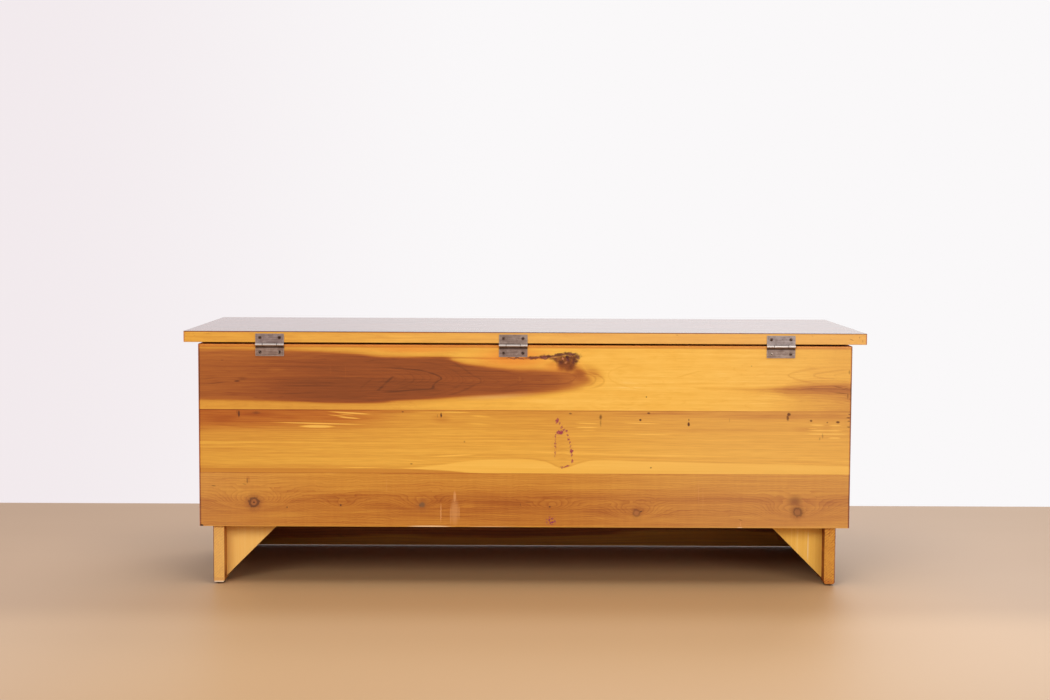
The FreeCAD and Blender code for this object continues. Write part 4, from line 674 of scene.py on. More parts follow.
DARKER_PATCHES = (
    (480, 308, 60, 8, 0.95, 0.6), (540, 300, 44, 10, 0.95, 0.45), (430, 303, 40, 5, 0.95, 0.35),
    (225, 313, 60, 3.5, 0.95, 0.8, -0.02), (150, 300, 24, 13, 0.95, 0.5), (-58, 258, 16, 34, 0.9, 0.15),
    (-260, 312, 150, 5, 0.95, 0.75), (-430, 309, 190, 9, 0.95, 0.55, 0.01), (-545, 309, 50, 9, 0.95, 0.35),
    (-500, 285, 40, 7, 0.95, 0.5, 0.02), (-540, 285, 18, 14, 0.95, 0.4), (-405, 305, 90, 8, 0.95, 0.4),
    (-230, 232, 160, 2, 0.9, 0.35, 0.01), (-500, 226, 90, 3, 0.9, 0.45, 0.01),
    (535, 288, 45, 2, 0.9, 0.4, 0.06),
)


def larger(rows, wider, taller):
    """The same marks with both half sizes multiplied."""
    return [(x, z, half_x * wider, half_z * taller, *rest) for x, z, half_x, half_z, *rest in rows]


print("marks on the middle board:", len(PLANER_FLECKS) + len(BRUISES) + len(DYE_SPOTS) + len(DARKER_PATCHES))


# %% Material of the middle board
def middle_grain(net, x, z, fibres, red):
    """Golden heartwood, redder in the upper corner at one end and along the top edge."""
    bands, streaks, fine, slow = fibres
    tone = net.curve(z, [
        (0.2, 0.66), (0.213, 0.72), (0.225, 0.77), (0.245, 0.765), (0.265, 0.74), (0.285, 0.7), (0.3, 0.665),
        (0.312, 0.64), (0.318, 0.6)])
    tone += net.curve(x, [(-0.6, -0.02), (-0.3, 0.02), (0, 0.01), (0.3, -0.02), (0.45, -0.05), (0.6, -0.09)])
    thread = net.line(net.noise((x * 1.6, (z + slow * 0.0012) * 210, 5.0), 2.0, 0.55) - 0.5, 0.035)
    tone += bands * 0.042 + streaks * 0.055 + fine * 0.046 + slow * 0.030 - red * 0.17 - thread * 0.05
    return tone


def sap_tongue(net, x, z, tone, bands, streaks, ruffle):
    """Sapwood along the foot of the board, under a pale line. It dips once, under the burl."""
    pale = net.curve(x, [
        (-600, 229), (-396, 232.8), (-323, 235.2), (-165, 237), (0, 244), (90, 250), (120, 254), (300, 257),
        (600, 257)], MM)
    tone += net.line(z - pale + ruffle * 2, 0.0030, 0.0005) * net.smooth(bands, -0.5, 0.2) * 0.09
    upper = net.curve(x, [
        (-600, 219), (-458, 221.3), (-315, 224.3), (-207, 226.6), (-135, 228), (-110, 225.5), (-99, 222.6),
        (-86, 218), (-75, 214.6), (-67, 213.4), (-58, 215.6), (-45, 221.6), (-28, 226.4), (8, 229.2),
        (44, 229), (80, 227.3), (116, 223.5), (170, 216.5), (235, 212.5), (600, 211)], MM)
    lower = net.curve(x, [
        (-600, 201), (44, 202), (90, 203.5), (116, 205.4), (170, 209), (235, 211), (600, 210.5)], MM)
    sap = net.smooth(z - lower + ruffle, -0.0006, 0.0016) * net.smooth(upper - z + ruffle, -0.0008, 0.0018)
    sap *= net.smooth(x, 0.29, 0.17)
    tone += sap * (bands * 0.03 + streaks * 0.03 + 0.895 - tone)
    tone -= net.line(z - upper - 0.0012, 0.003) * net.smooth(x, 0.12, 0.0) * 0.05
    below = net.smooth(lower - z + ruffle, -0.0006, 0.0014)
    return tone + below * (bands * 0.06 + 0.57 - tone)


def burl_shade(net, x, z):
    """The grain bows under the burl, which is a little darker."""
    apart = (x + 0.068) * 1000
    bow = net.fract((z * 1000 + apart * apart * 0.035) / 8.0) ** 5
    return marks(net, x, z, ((-68, 246, 20, 36, 0.9, 1),)) * (bow * 0.09 + 0.02)


def back_middle():
    net, (x, y, z), outer, fibres = start_board("cedar_back_middle", 11.7)
    bands, streaks, fine, slow = fibres
    red = net.smooth(z + slow * 0.010 + x * 0.02, 0.276, 0.308) * net.smooth(x + slow * 0.04, 0.21, 0.34)
    tone = middle_grain(net, x, z, fibres, red)
    tone = sap_tongue(net, x, z, tone, bands, streaks, slow * 0.0010 + streaks * 0.0005)
    tone -= burl_shade(net, x, z)
    flecks = marks(net, x + slow * 0.003, z + bands * 0.0004, larger(PLANER_FLECKS, 1.15, 1.40)) * outer
    tone += flecks * (0.94 - tone) - marks(net, x, z, DARKER_PATCHES) * 0.18
    tone -= net.smooth(z, seam_high - 0.0014, seam_high) * 0.28
    tone -= net.smooth(z, seam_low + 0.0010, seam_low) * 0.14 + end_shade(net, x)

    ragged = net.noise((x * 420, z * 420, 0.5)) - 0.5
    dots = marks(net, x + ragged * 0.0020, z + ragged * 0.0014, larger(BRUISES, 1.40, 1.35)) * outer
    ink = marks(net, x + ragged * 0.0070, z - ragged * 0.0070, larger(DYE_SPOTS, 1.40, 1.35)) * outer
    ink *= net.smooth(net.noise((x * 560, z * 560, 8.5), 1.0), 0.30, 0.42)
    ghost = marks(net, x, z, (
        (-68.5, 229.6, 10, 0.8, 0.9, 0.9), (-68.5, 222, 10, 0.8, 0.9, 0.5), (-69, 262, 10, 0.7, 0.9, 0.5),
        (-69, 248, 11, 0.7, 0.9, 0.5), (-56, 250, 1.2, 26, 0.9, 0.6))) * outer
    return finish_cedar(net, tone - ghost * 0.10, fine, bands, red * 0.20, [
        (net.smooth(x, 0.05, -0.45) * 0.11, srgb(232, 192, 146)), (dots, srgb(92, 50, 30)),
        (ink * 0.95, srgb(150, 44, 78))])


# %% [markdown]
# ## The bottom board of the back
# Six knots sit in a row. Each lifts the growth rings into a hill, and the rings of the whole board
# are then the contour lines of that hilly surface. That is how a plane really cuts such a board.

# %% Knots and marks of the bottom board
# x, z, radius, reach along, reach across, height of the hill, then strength of rim, core and halo
KNOTS = (
    (486, 149.2, 7.4, 62, 21, 42, 0.95, 0.35, 0.95), (330.5, 144.7, 1.9, 34, 13, 20, 0, 0, 0.4),
    (184, 146, 6, 40, 16, 26, 0, 0, 0.55), (-45, 142.9, 1.7, 44, 14, 24, 0, 0, 0.4),
    (-201, 132.4, 5.4, 44, 17, 28, 0.5, 0.55, 0.5), (-489.7, 134.9, 6.8, 62, 21, 38, 0.65, 0.3, 0.7),
)
KNOT_SHADE = (
    (486, 150, 26, 15, 0.95, 0.55), (-205, 138, 26, 12, 0.95, 0.5), (30, 150, 80, 14, 0.95, 0.45),
    (230, 138, 90, 16, 0.95, 0.45, 0.05), (150, 152, 60, 14, 0.95, 0.4), (-150, 134, 60, 18, 0.95, 0.3),
    (496, 191, 5, 9, 0.8, 0.75, 0.45), (540, 190, 50, 5, 0.95, 0.35, -0.05),
    (420, 170, 90, 6, 0.95, 0.45, -0.06), (330, 160, 60, 6, 0.95, 0.35, -0.04),
    (-300, 122, 90, 8, 0.95, 0.25, -0.03),
)
PALER_PATCHES = (
    (300, 176, 120, 6, 0.95, 0.6, -0.02), (-180, 178, 150, 10, 0.95, 0.5),
    (-420, 170, 90, 9, 0.95, 0.5, 0.02), (430, 128, 60, 10, 0.95, 0.5), (106, 146, 20, 9, 0.95, 0.7),
    (350, 203, 16, 5, 0.95, 0.9),
)
SCUFFS = (
    (150.8, 132, 1.5, 22, 0.6, 0.9), (126, 134, 10.5, 32, 0.75, 0.65), (126, 160, 3.2, 14, 0.6, 0.85),
    (133, 128, 2, 24, 0.7, 0.6), (118, 132, 1.6, 18, 0.7, 0.6), (344, 206, 22, 5, 0.95, 0.5),
    (255, 214, 0.8, 20, 0.8, 0.5), (248, 180, 0.7, 20, 0.9, 0.35), (-387.8, 113, 0.9, 6, 0.6, 0.8),
    (-312, 170, 1.2, 34, 0.9, 0.35), (-320, 160, 0.8, 34, 0.9, 0.3),
)
PITS = (
    (580, 107.6, 4, 2.2, 0.5, 1, 0.2), (486.1, 149.2, 2.3, 2, 0.6, 0.9), (330.5, 144.7, 2.2, 1.7, 0.5, 1),
    (558, 178.8, 6, 1, 0.8, 0.8, 0.1), (426.7, 140.5, 1.6, 2.2, 0.7, 0.8),
    (498, 188, 1.6, 6.5, 0.7, 0.55, 0.5), (503, 182, 5, 1.2, 0.8, 0.45, 0.2),
    (-209, 135.3, 3.6, 1.4, 0.6, 0.9, -0.4), (-388, 120.3, 5, 0.7, 0.8, 0.8, 0.3),
    (-45, 142.9, 2, 1.3, 0.5, 1), (8, 146.7, 1.2, 4, 0.8, 0.5, 0.3), (-5, 151, 10, 0.8, 0.8, 0.4, 0.1),
    (-583, 190, 1.8, 14, 0.9, 0.3),
)


# %% Material of the bottom board
def knot_parts(net, x, z):
    """The hill under all knots together, then masks of their rims, cores and halos."""
    lift, masks = 0.0, []
    for knot_x, knot_z, radius, reach_x, reach_z, height, *strengths in KNOTS:
        measures = [value * MM for value in (knot_x, knot_z, radius, reach_x, reach_z)]
        rise, core, rim, halo = net.use(KNOT, x, z, *measures)
        lift = rise * height + lift
        masks.append([mask * strength for mask, strength in zip((rim, core, halo), strengths)])
    return lift, *(net.strongest(column) for column in zip(*masks))


def ring_tone(net, x, z, fibres, lift):
    """The tone of the wood, and the growth rings that the knots lift."""
    bands, streaks, fine, slow = fibres
    coarse = net.noise((x * 16, z * 40, 7.0), 3.0, 0.6, 0.4) - 0.5
    plain = z * 1000 + slow * 4 + coarse * 14 + x * 6
    level = plain + lift
    ring = net.fract(level / 3.7) ** 3
    wide = net.noise((x * 3, level * 0.10, 4.0), 2.0, 0.6) - 0.5
    cross = net.noise((x * 130, z * 12, 2.0), 1.0) - 0.5
    tone = net.curve(plain + lift * 0.35, [
        (90, 0.54), (118, 0.52), (138, 0.485), (152, 0.475), (165, 0.51), (178, 0.565), (195, 0.59),
        (225, 0.58), (260, 0.56)])
    tone += net.curve(x, [
        (-0.6, 0.05), (-0.45, 0.035), (-0.25, 0.02), (-0.12, 0), (0.05, -0.015), (0.2, 0), (0.4, 0.01),
        (0.6, 0.02)])
    tone += wide * 0.20 + bands * 0.030 + streaks * 0.055 + fine * 0.02 + cross * 0.05
    return tone - ring * 0.095, ring


def back_bottom():
    net, (x, y, z), outer, fibres = start_board("cedar_back_bottom", 23.9)
    bands, streaks, fine, slow = fibres
    lift, rim, core, halo = knot_parts(net, x + slow * 0.003, z)
    tone, ring = ring_tone(net, x, z, fibres, lift)
    tone += marks(net, x, z, PALER_PATCHES) * 0.08 - marks(net, x, z, KNOT_SHADE) * 0.14
    # Painted highlight along the bottom arris of the rear face.
    tone += net.smooth(z, case_low + 0.0014, case_low + 0.0004) * outer * 0.16
    tone -= net.smooth(z, seam_low - 0.0014, seam_low) * 0.16 + end_shade(net, x)
    faded = net.smooth(net.abs(x - 0.15), 0.15, 0.60) * 0.13
    scuffed = marks(net, x + fine * 0.0008, z, SCUFFS) * outer
    chipped = marks(net, x, z, (
        (171, 106.8, 46, 1.7, 0.5, 1), (-387, 106.6, 6, 1.2, 0.5, 0.8), (60, 106.6, 60, 1, 0.9, 0.5))) * outer
    dots = marks(net, x, z, PITS) * outer
    # One knot has turned grey all through, and the wood above the last one is stained.
    grey = marks(net, x + fine * 0.0006, z, (
        (184, 146, 6.8, 6.6, 0.6, 0.8), (188, 144.6, 2.6, 4.6, 0.8, 1, 0.3)))
    stained = marks(net, x + slow * 0.004, z, (
        (-486, 155, 19, 15, 0.95, 0.75), (-489, 138, 17, 14, 0.9, 0.5)))
    speck = net.smooth(net.noise((x * 330, z * 330, 2.5)), 0.50, 0.55)
    ink = marks(net, x, z, ((-47, 117.8, 12, 10, 0.6, 1),)) * outer * speck
    return finish_cedar(net, tone, fine, bands + ring * 0.4, 0.0, [
        (faded, srgb(222, 184, 144)), (chipped, srgb(246, 204, 150)), (scuffed * 0.62, srgb(228, 168, 108)),
        (halo * 0.62, srgb(142, 80, 46)), (stained, srgb(136, 84, 52)), (core * 0.80, srgb(166, 108, 68)),
        (grey, srgb(118, 86, 58)), (rim * 0.72, srgb(84, 54, 40)), (dots, srgb(66, 42, 32)),
        (ink, srgb(140, 44, 84))])


# %% [markdown]
# ## Every other cedar board
# A board is a slice through a log. Rings are measured from a pith line that runs near the board, a
# little askew, so their traces close into arches, and each board gets its own slice. Close to the
# pith the slice cuts red heartwood, and far from it sapwood.

# %% Cedar slice
AXES = {"x": (0, 2, 1), "y": (1, 2, 0), "flat": (0, 1, 2), "flat_y": (1, 0, 2)}


def cedar_slice(node, grain, seed, tone_level, heart, end_axis=None):
    """Cedar with its grain along an axis. end_axis is the axis on whose faces end grain shows."""
    rng = random.Random(seed)
    net = new_material("cedar_" + node)
    place = net.place()
    along, across, depth = (place[index] for index in AXES[grain])
    bands, streaks, fine, slow = net.use(FIBRE, along, across, depth, rng.uniform(0, 40))
    low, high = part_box(node)
    centre = [((low + high) / 2)[index] for index in AXES[grain]]
    length = (high - low)[AXES[grain][0]]
    pith_across = centre[1] + rng.uniform(-0.03, 0.03)
    pith_depth = centre[2] + rng.choice((-1, 1)) * rng.uniform(0.015, 0.04)
    tilt = rng.uniform(-0.05, 0.05)
    side, deep = across - pith_across, depth - pith_depth + along * tilt
    distance = net.root(side * side + deep * deep) + slow * 0.006
    ring = net.fract(distance * 1000 / rng.uniform(4.2, 6.0)) ** 3
    heartwood = net.smooth(distance + bands * 0.002, heart + 0.004, heart)
    tone = bands * 0.06 + streaks * 0.045 + slow * 0.05 + (tone_level + 0.22) - heartwood * 0.30 - ring * 0.10
    for _ in range(2):
        knot_along = centre[0] + rng.uniform(-0.4, 0.4) * length
        knot_across = centre[1] + rng.uniform(-0.03, 0.03)
        radius = rng.uniform(3, 7) * MM
        rim, halo = net.use(KNOT, along, across, knot_along, knot_across, radius, 0.04, 0.015)[2:]
        tone -= halo * 0.10 + rim * 0.22
    if end_axis is not None:
        facing = net.smooth(net.abs(net.normal()["xyz".index(end_axis)]), 0.6, 0.8)
        pores = net.noise((across * 900, depth * 900, along * 30)) * 2 - 1
        tone += facing * (pores * 0.10 - 0.05 - bands * 0.08)
    return finish_cedar(net, tone, fine, bands, heartwood * 0.06, rough=0.5)


# %% [markdown]
# ## The rear edge of the lid
# Pale sapwood. Its upper arris has darkened under the glue line of the top veneer, its lower one
# is rubbed bright, and it has taken a few knocks.

# %% Material of the lid's rear board
BAND_LOW, BAND_HIGH = 0.4538, 0.4556


def lid_edge():
    net, (x, y, z), outer, (bands, streaks, fine, slow) = start_board("cedar_lid_rear", 31.3)
    tone = net.curve(x, [(-0.62, 0.78), (-0.4, 0.79), (-0.1, 0.78), (0.1, 0.76), (0.35, 0.72), (0.62, 0.7)])
    thread = net.line(net.noise((x * 2.2, (z + slow * 0.001) * 320, 5.0), 2.0, 0.55) - 0.5, 0.05)
    cloud = net.noise((x * 16, z * 120, 4.0), 2.0, 0.6) - 0.5
    tone += bands * 0.060 + streaks * 0.05 + slow * 0.055 - thread * 0.05 + cloud * 0.32 + 0.03
    # Painted shade on the underside of the board near its rear edge.
    underside_shade = net.smooth(net.normal()[2], -0.5, -0.9) * net.smooth(y, rear - 0.020, rear - 0.014)
    rubbed = net.smooth(z, lid_low + 0.0022, lid_low + 0.0004)
    glue_line = net.smooth(z, veneer_low - 0.0010, veneer_low - 0.0002) * outer
    tone += rubbed * 0.07 - underside_shade * 0.35 - net.smooth(z, BAND_LOW, BAND_HIGH) * 0.10 - glue_line * 0.34
    red = marks(net, x, z, (
        (200, 454.6, 60, 1.6, 0.9, 0.8), (-95, 454.6, 70, 1.4, 0.9, 0.8), (-330, 455, 90, 1.2, 0.9, 0.5),
        (520, 454.6, 60, 1.6, 0.9, 0.7), (262, 449, 8, 3, 0.9, 0.35), (440, 447, 60, 3, 0.9, 0.3)))
    dots = marks(net, x, z, (
        (-582, 446, 5, 1.2, 0.7, 0.55, 0.4), (-596, 450, 1.2, 2.6, 0.7, 0.5),
        (-602, 444, 1, 3.5, 0.7, 0.5, 0.3), (-270, 453, 3, 0.8, 0.7, 0.5, 0.3),
        (-512, 452.6, 2.4, 0.8, 0.7, 0.5, 0.3), (-545, 447, 2.4, 0.8, 0.7, 0.4, 0.3),
        (330, 442, 2, 0.8, 0.7, 0.35), (590, 449, 1.6, 1, 0.7, 0.3),
        (566, 452.6, 7, 1, 0.8, 0.35, 0.1))) * outer
    bleached = net.curve(x, [(-0.62, 0.55), (-0.35, 0.5), (0, 0.34), (0.3, 0.12), (0.62, 0)])
    bleached *= bands * 0.15 + 1
    return finish_cedar(net, tone, fine, bands, red * 0.35,
                        [(bleached, srgb(232, 178, 108)), (dots, srgb(140, 84, 44))], 0.40)


# %% [markdown]
# ## Plinth
# The gussets run their grain upright. The rear ends of the side boards show end grain: ring lines
# cross them at a slant, and a painted highlight runs along the foot. Their inner faces are painted darker, as
# shade.

# %% Materials of the plinth
def plinth_end(name, tone_level, slant, bleached=0.0, foot_highlight=0.0):
    """A side board of the plinth. Its rear end grain can be bleached, and its foot can take a painted
    highlight.
    """
    net = new_material(name)
    x, y, z = net.place()
    bands, streaks, fine, slow = net.use(FIBRE, y, z, x, 7.0 + slant)
    end_slow = net.use(FIBRE, y, z + x * slant, x, 3.0)[3]
    facing = net.smooth(net.normal()[1], 0.6, 0.8)
    ring = net.fract((z + x * slant) * 1000 / 5.2 + slow * 0.6) ** 2
    pores = net.noise((x * 480, y * 60, z * 480)) * 2 - 1
    foot = net.smooth(z, plinth_low + 0.011, plinth_low + 0.005) * facing
    # The pale line at the very foot is a painted highlight along the bottom arris.
    pale = net.smooth(z, plinth_low + 0.0030, plinth_low + 0.0016) * facing
    tone = bands * 0.08 + slow * 0.05 + (tone_level - 0.30) - foot * 0.10
    # The faces other than the rear end are painted darker, as shade.
    tone += facing * (end_slow * 0.05 - ring * 0.22 + pores * 0.30 + 0.38 - bands * 0.08)
    return finish_cedar(net, tone, fine, bands, foot * 0.15, [
        (facing * bleached, srgb(232, 184, 120)), (pale * foot_highlight, srgb(238, 214, 184))], 0.5)


def gusset(name, tone_level, bleached, scratch=()):
    """Rear boards of the plinth's corners. Their slanted edge is painted a little paler as a highlight, and
    their top darker as shadow from the case.
    """
    net = new_material(name)
    x, y, z = net.place()
    bands, streaks, fine, slow = net.use(FIBRE, z, x, y, 5.0 + tone_level * 10)
    # The slanted edge is a painted highlight.
    edge_highlight = net.smooth(net.normal()[1], 0.95, 0.80)
    tone = bands * 0.022 + streaks * 0.035 + slow * 0.02 + fine * 0.015 + tone_level + edge_highlight * 0.08
    # Painted shadow from the case along the top of the gusset.
    tone -= net.smooth(z, case_low - 0.010, case_low) * 0.10
    worn = marks(net, x + streaks * 0.0006, z, scratch) if scratch else 0.0
    return finish_cedar(net, tone, fine, bands, 0.0, [
        (bleached, srgb(255, 200, 112)), (worn, srgb(246, 214, 160))], 0.48)


# %% [markdown]
# ## Walnut veneer
# Dark, figured and glossy: a clear coat over brown wood with short open pores. The coat does the
# work here, because a polished top mostly shows what it reflects. Where a veneer ends, its thin
# edge shows as a dark line.

# %% Materials of the veneer
def walnut(name, grain, seed, middle=0.0, coat=0.12, edge=None, coat_share=0.9, tint=(1.0, 1.0, 1.0, 1.0)):
    """Glossy veneer. edge is the colour of its rear edge, tint that of its reflections."""
    rng = random.Random(seed)
    net = new_material(name)
    place = net.place()
    along, across, depth = (place[index] for index in AXES[grain])
    bands, streaks, fine, slow = net.use(FIBRE, along * 0.8, across * 0.8, depth, rng.uniform(0, 40))
    side = across - middle
    figure = side * side * rng.uniform(22, 30) + along * rng.uniform(0.10, 0.16) + slow * 0.05 + across * 0.6
    ring = net.fract(figure * 30)
    ring = net.smooth(ring, 0.0, 0.75) * net.smooth(ring, 1.0, 0.85)
    pores = net.smooth(net.noise((along * 60, across * 1500, depth * 1500), 1.0), 0.60, 0.70)
    shade = ring * 0.20 + bands * 0.22 + streaks * 0.12 + slow * 0.20 + 0.42 - pores * 0.20
    colour = net.ramp(shade, [
        (0.0, srgb(42, 18, 12)), (0.3, srgb(72, 34, 22)), (0.6, srgb(104, 54, 34)), (1.0, srgb(142, 82, 52))])
    if edge is not None:
        colour = net.mix(net.smooth(net.normal()[1], 0.6, 0.8), colour, edge)
    return finish_material(
        net, Base_Color=colour, Roughness=fine * 0.04 + 0.30, Coat_Weight=coat_share, Coat_Roughness=coat,
        Specular_Tint=tint, Normal=bump(net, fine * 0.2 - pores, 0.08, 0.0003))


def walnut_strip():
    """Edging strips: a lighter brown, worn along their arrises."""
    net = new_material("walnut_strip")
    x, y, z = net.place()
    bands, streaks, fine, slow = net.use(FIBRE, x + y, z, y - x, 17.0)
    upper = net.smooth(z, lid_high - 0.0022, lid_high - 0.0008)
    lower = net.smooth(z, lid_low + 0.0022, lid_low + 0.0008)
    colour = net.ramp(bands * 0.16 + streaks * 0.08 + slow * 0.12 + net.most(upper, lower) * 0.22 + 0.48, [
        (0.0, srgb(142, 80, 38)), (0.5, srgb(188, 118, 58)), (1.0, srgb(222, 154, 84))])
    return finish_material(
        net, Base_Color=colour, Roughness=fine * 0.04 + 0.36, Coat_Weight=0.4, Coat_Roughness=0.2)


# %% [markdown]
# ## Hinges
# The leaves are plated steel that has dulled to a warm grey, with brush marks along them. Their
# edges have painted highlights, the barrel a painted highlight on top and painted shade underneath, and a
# painted shadow lies in the corner below it.

# %% Material of the hinges
KNUCKLE_JOINT = 0.01265  # from the middle of a hinge to the joints between its knuckles


def pitting(net, x, y, z):
    """Small rusty pits in steel."""
    return net.smooth(net.noise((x * 420, y * 420, z * 420), 1.0), 0.66, 0.74)


def hinge_steel(place, upper, lower):
    """The steel of one hinge. upper and lower are the colours of its two leaves."""
    net = new_material(f"hinge_{place}_steel")
    x, y, z = net.place()
    low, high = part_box(f"hinge_{place}_case_leaf")
    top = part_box(f"hinge_{place}_lid_leaf")[1].z
    aside, half = net.abs(x - (low.x + high.x) / 2), (high.x - low.x) / 2
    cloud = net.noise((x * 110, z * 110, y * 110), 3.0, 0.6)
    brushed = net.noise((x * 30, z * 1300, y * 1300), 2.0, 0.6)
    tarnish = cloud * 0.45 + brushed * 0.55
    # Painted highlight along the edges of the leaves.
    border_highlight = net.strongest([
        net.smooth(aside, half - 0.0012, half - 0.0004), net.smooth(z, top - 0.0012, top - 0.0004),
        net.smooth(z, low.z + 0.0012, low.z + 0.0004)])
    rise, out = z - axis_z, y - axis_y
    # Painted shadow in the corner under the barrel.
    corner = net.line(rise + 0.0044, 0.0022, 0.0008)
    barrel = net.smooth(net.root(rise * rise + out * out), knuckle + 0.0003, knuckle - 0.0002)
    # Painted highlight on the top of the barrel, and painted shade on its underside.
    bright = barrel * net.smooth(rise, -0.0012, 0.0002)
    dull = barrel * net.smooth(rise, -0.0006, -0.0018)
    joints = barrel * net.line(aside - KNUCKLE_JOINT, 0.0013, 0.0004)
    colour = net.coats(net.mix(net.smooth(rise, -0.001, 0.001), lower, upper), [
        (net.smooth(tarnish, 0.58, 0.40) * 0.55, srgb(112, 92, 84)),
        (net.smooth(tarnish, 0.52, 0.66) * 0.50, srgb(198, 182, 174)),
        (pitting(net, x, y, z) * 0.5, srgb(104, 80, 70)), (border_highlight * 0.45, srgb(204, 192, 186)),
        (corner * 0.8, srgb(58, 38, 28)), (bright * 0.9, srgb(240, 230, 220)),
        (dull * 0.7, srgb(106, 82, 70)), (joints * 0.8, srgb(92, 72, 62))])
    rough = net.smooth(cloud, 0.3, 0.7, 0.48, 0.34) - bright * 0.10
    return finish_material(
        net, Base_Color=colour, Metallic=0.92, Roughness=rough, Normal=bump(net, brushed, 0.12, 0.0002))


# %% [markdown]
# ## Other metals, rubber and plywood
# One recipe serves for the stay, the lock, the screws and the glides: clouds of a dark and a light
# colour, and grit that is either even or drawn out by brushing.

# %% Materials of the small parts
def metal(name, dark, light, scale=1.0, rough=(0.32, 0.5), brushed=None, spots=None, highlights=()):
    """Clouded metal. brushed is the index of the axis that its grit is drawn out along."""
    net = new_material(name)
    x, y, z = net.place()
    cloud = net.noise([axis * 90 * scale for axis in (x, y, z)], 4.0, 0.6)
    stretch = [900.0 if brushed is None else 1400.0] * 3
    if brushed is not None:
        stretch[brushed] = 30.0
    grit = net.noise([axis * factor for axis, factor in zip((x, y, z), stretch)], 2.0, 0.6)
    tint = cloud * 0.6 + grit * 0.4
    colour = net.mix(net.smooth(tint, 0.32, 0.68), dark, light)
    if spots is not None:
        colour = net.mix(pitting(net, x, y, z) * 0.6, colour, spots)
    # Marks in a lighter colour: painted highlights.
    if highlights:
        colour = net.mix(marks(net, x, z, highlights), colour, srgb(196, 180, 166))
    return finish_material(
        net, Base_Color=colour, Metallic=0.94, Roughness=net.smooth(tint, 0.2, 0.8, *rough[::-1]),
        Normal=bump(net, grit, 0.15, 0.0002))


def rubber():
    """Dull black with a fine grit."""
    net = new_material("bumper_rubber")
    grit = net.noise([axis * 700 for axis in net.place()], 3.0)
    return finish_material(net, Base_Color=net.mix(grit, srgb(26, 24, 22), srgb(52, 48, 44)),
                           Roughness=grit * 0.2 + 0.6, Normal=bump(net, grit, 0.2, 0.0002))


def plywood():
    """Thin layers of veneer, light and dark in turn."""
    net = new_material("spline_plywood")
    x, y, z = net.place()
    layer = net.smooth(net.abs(net.fract((x + y) * 700) - 0.5), 0.2, 0.3)
    grain = net.noise((x * 300, y * 300, z * 20), 3.0)
    colour = net.mix(layer * 0.6 + grain * 0.3, srgb(196, 160, 112), srgb(150, 108, 70))
    return finish_material(net, Base_Color=colour, Roughness=grain * 0.2 + 0.55)


# %% [markdown]
# ## Giving each CAD node its material
# A CAD node keeps its mesh, so only its material slot changes.

# %% Dress the boards
def dress(material, *names):
    """Gives CAD nodes one material."""
    for name in names:
        slots = nodes[name].data.materials
        slots.clear()
        slots.append(material)


dress(back_top(), "back_board_top")
dress(back_middle(), "back_board_middle")
dress(back_bottom(), "back_board_bottom")
dress(lid_edge(), "lid_board_rear")

FIRST_SEED = 101
WALLS = (("front", "x"), ("left", "y"), ("right", "y"))
ROWS = ("bottom", "middle", "top")
plain = [(f"{wall}_board_{row}", grain, 0.42) for wall, grain in WALLS for row in ROWS]
plain += [(f"floor_board_{index}", "flat", 0.44) for index in range(1, 5)]
plain += [(f"lid_board_{place}", "flat", 0.50) for place in ("front", "front_middle", "rear_middle")]
for seed, (node, grain, tone_level) in enumerate(plain, FIRST_SEED):
    dress(cedar_slice(node, grain, seed, tone_level, 0.05), node)
dress(cedar_slice("lid_battens", "flat_y", 140, 0.46, 0.2, end_axis="y"), "lid_battens")
dress(plinth_end("plinth_left", 0.53, 0.9), "base_left_board")
dress(plinth_end("plinth_right", 0.76, 0.9, 0.45, 0.85), "base_right_board")
dress(cedar_slice("base_front_board", "x", 151, 0.44, 0.06), "base_front_board")
dress(cedar_slice("base_glue_blocks", "x", 152, 0.52, 0.2), "base_glue_blocks")
dress(gusset("gusset_right", 0.96, 0.60), "gusset_right")
SCRATCH = ((-515.8, 68, 0.9, 33, 0.5, 0.85), (-515.2, 52, 0.6, 16, 0.6, 0.6))
dress(gusset("gusset_left", 0.92, 0.0, SCRATCH), "gusset_left")
dress(plywood(), "corner_splines")
print("plain cedar boards dressed:", len(plain))

# %% Dress the veneers
EDGE_LINE, WORN_EDGE, TOP_EDGE = srgb(122, 56, 30), srgb(164, 88, 48), srgb(58, 24, 28)
dress(walnut("walnut_top", "flat", 7, 0.0, 0.12, TOP_EDGE, 0.68, (1.0, 0.50, 0.47, 1.0)), "lid_top_veneer")
dress(walnut("walnut_front", "x", 8, 0.27, 0.10), "front_veneer")
dress(walnut("walnut_left", "y", 9, 0.27, 0.12, EDGE_LINE), "left_veneer")
dress(walnut("walnut_right", "y", 10, 0.27, 0.12, WORN_EDGE), "right_veneer")
dress(walnut("walnut_base_front", "x", 11, 0.05, 0.10), "base_front_veneer")
dress(walnut("walnut_base_ends", "y", 12, 0.27, 0.12, EDGE_LINE), "base_end_veneers")
dress(walnut_strip(), "lid_front_edging", "lid_end_edgings")

# %% Dress the hardware
for place, upper, lower in (
    ("right", srgb(165, 150, 150), srgb(166, 143, 131)),
    ("middle", srgb(162, 146, 138), srgb(156, 136, 127)),
    ("left", srgb(170, 161, 160), srgb(158, 141, 132)),
):
    dress(hinge_steel(place, upper, lower), f"hinge_{place}_case_leaf", f"hinge_{place}_lid_leaf")
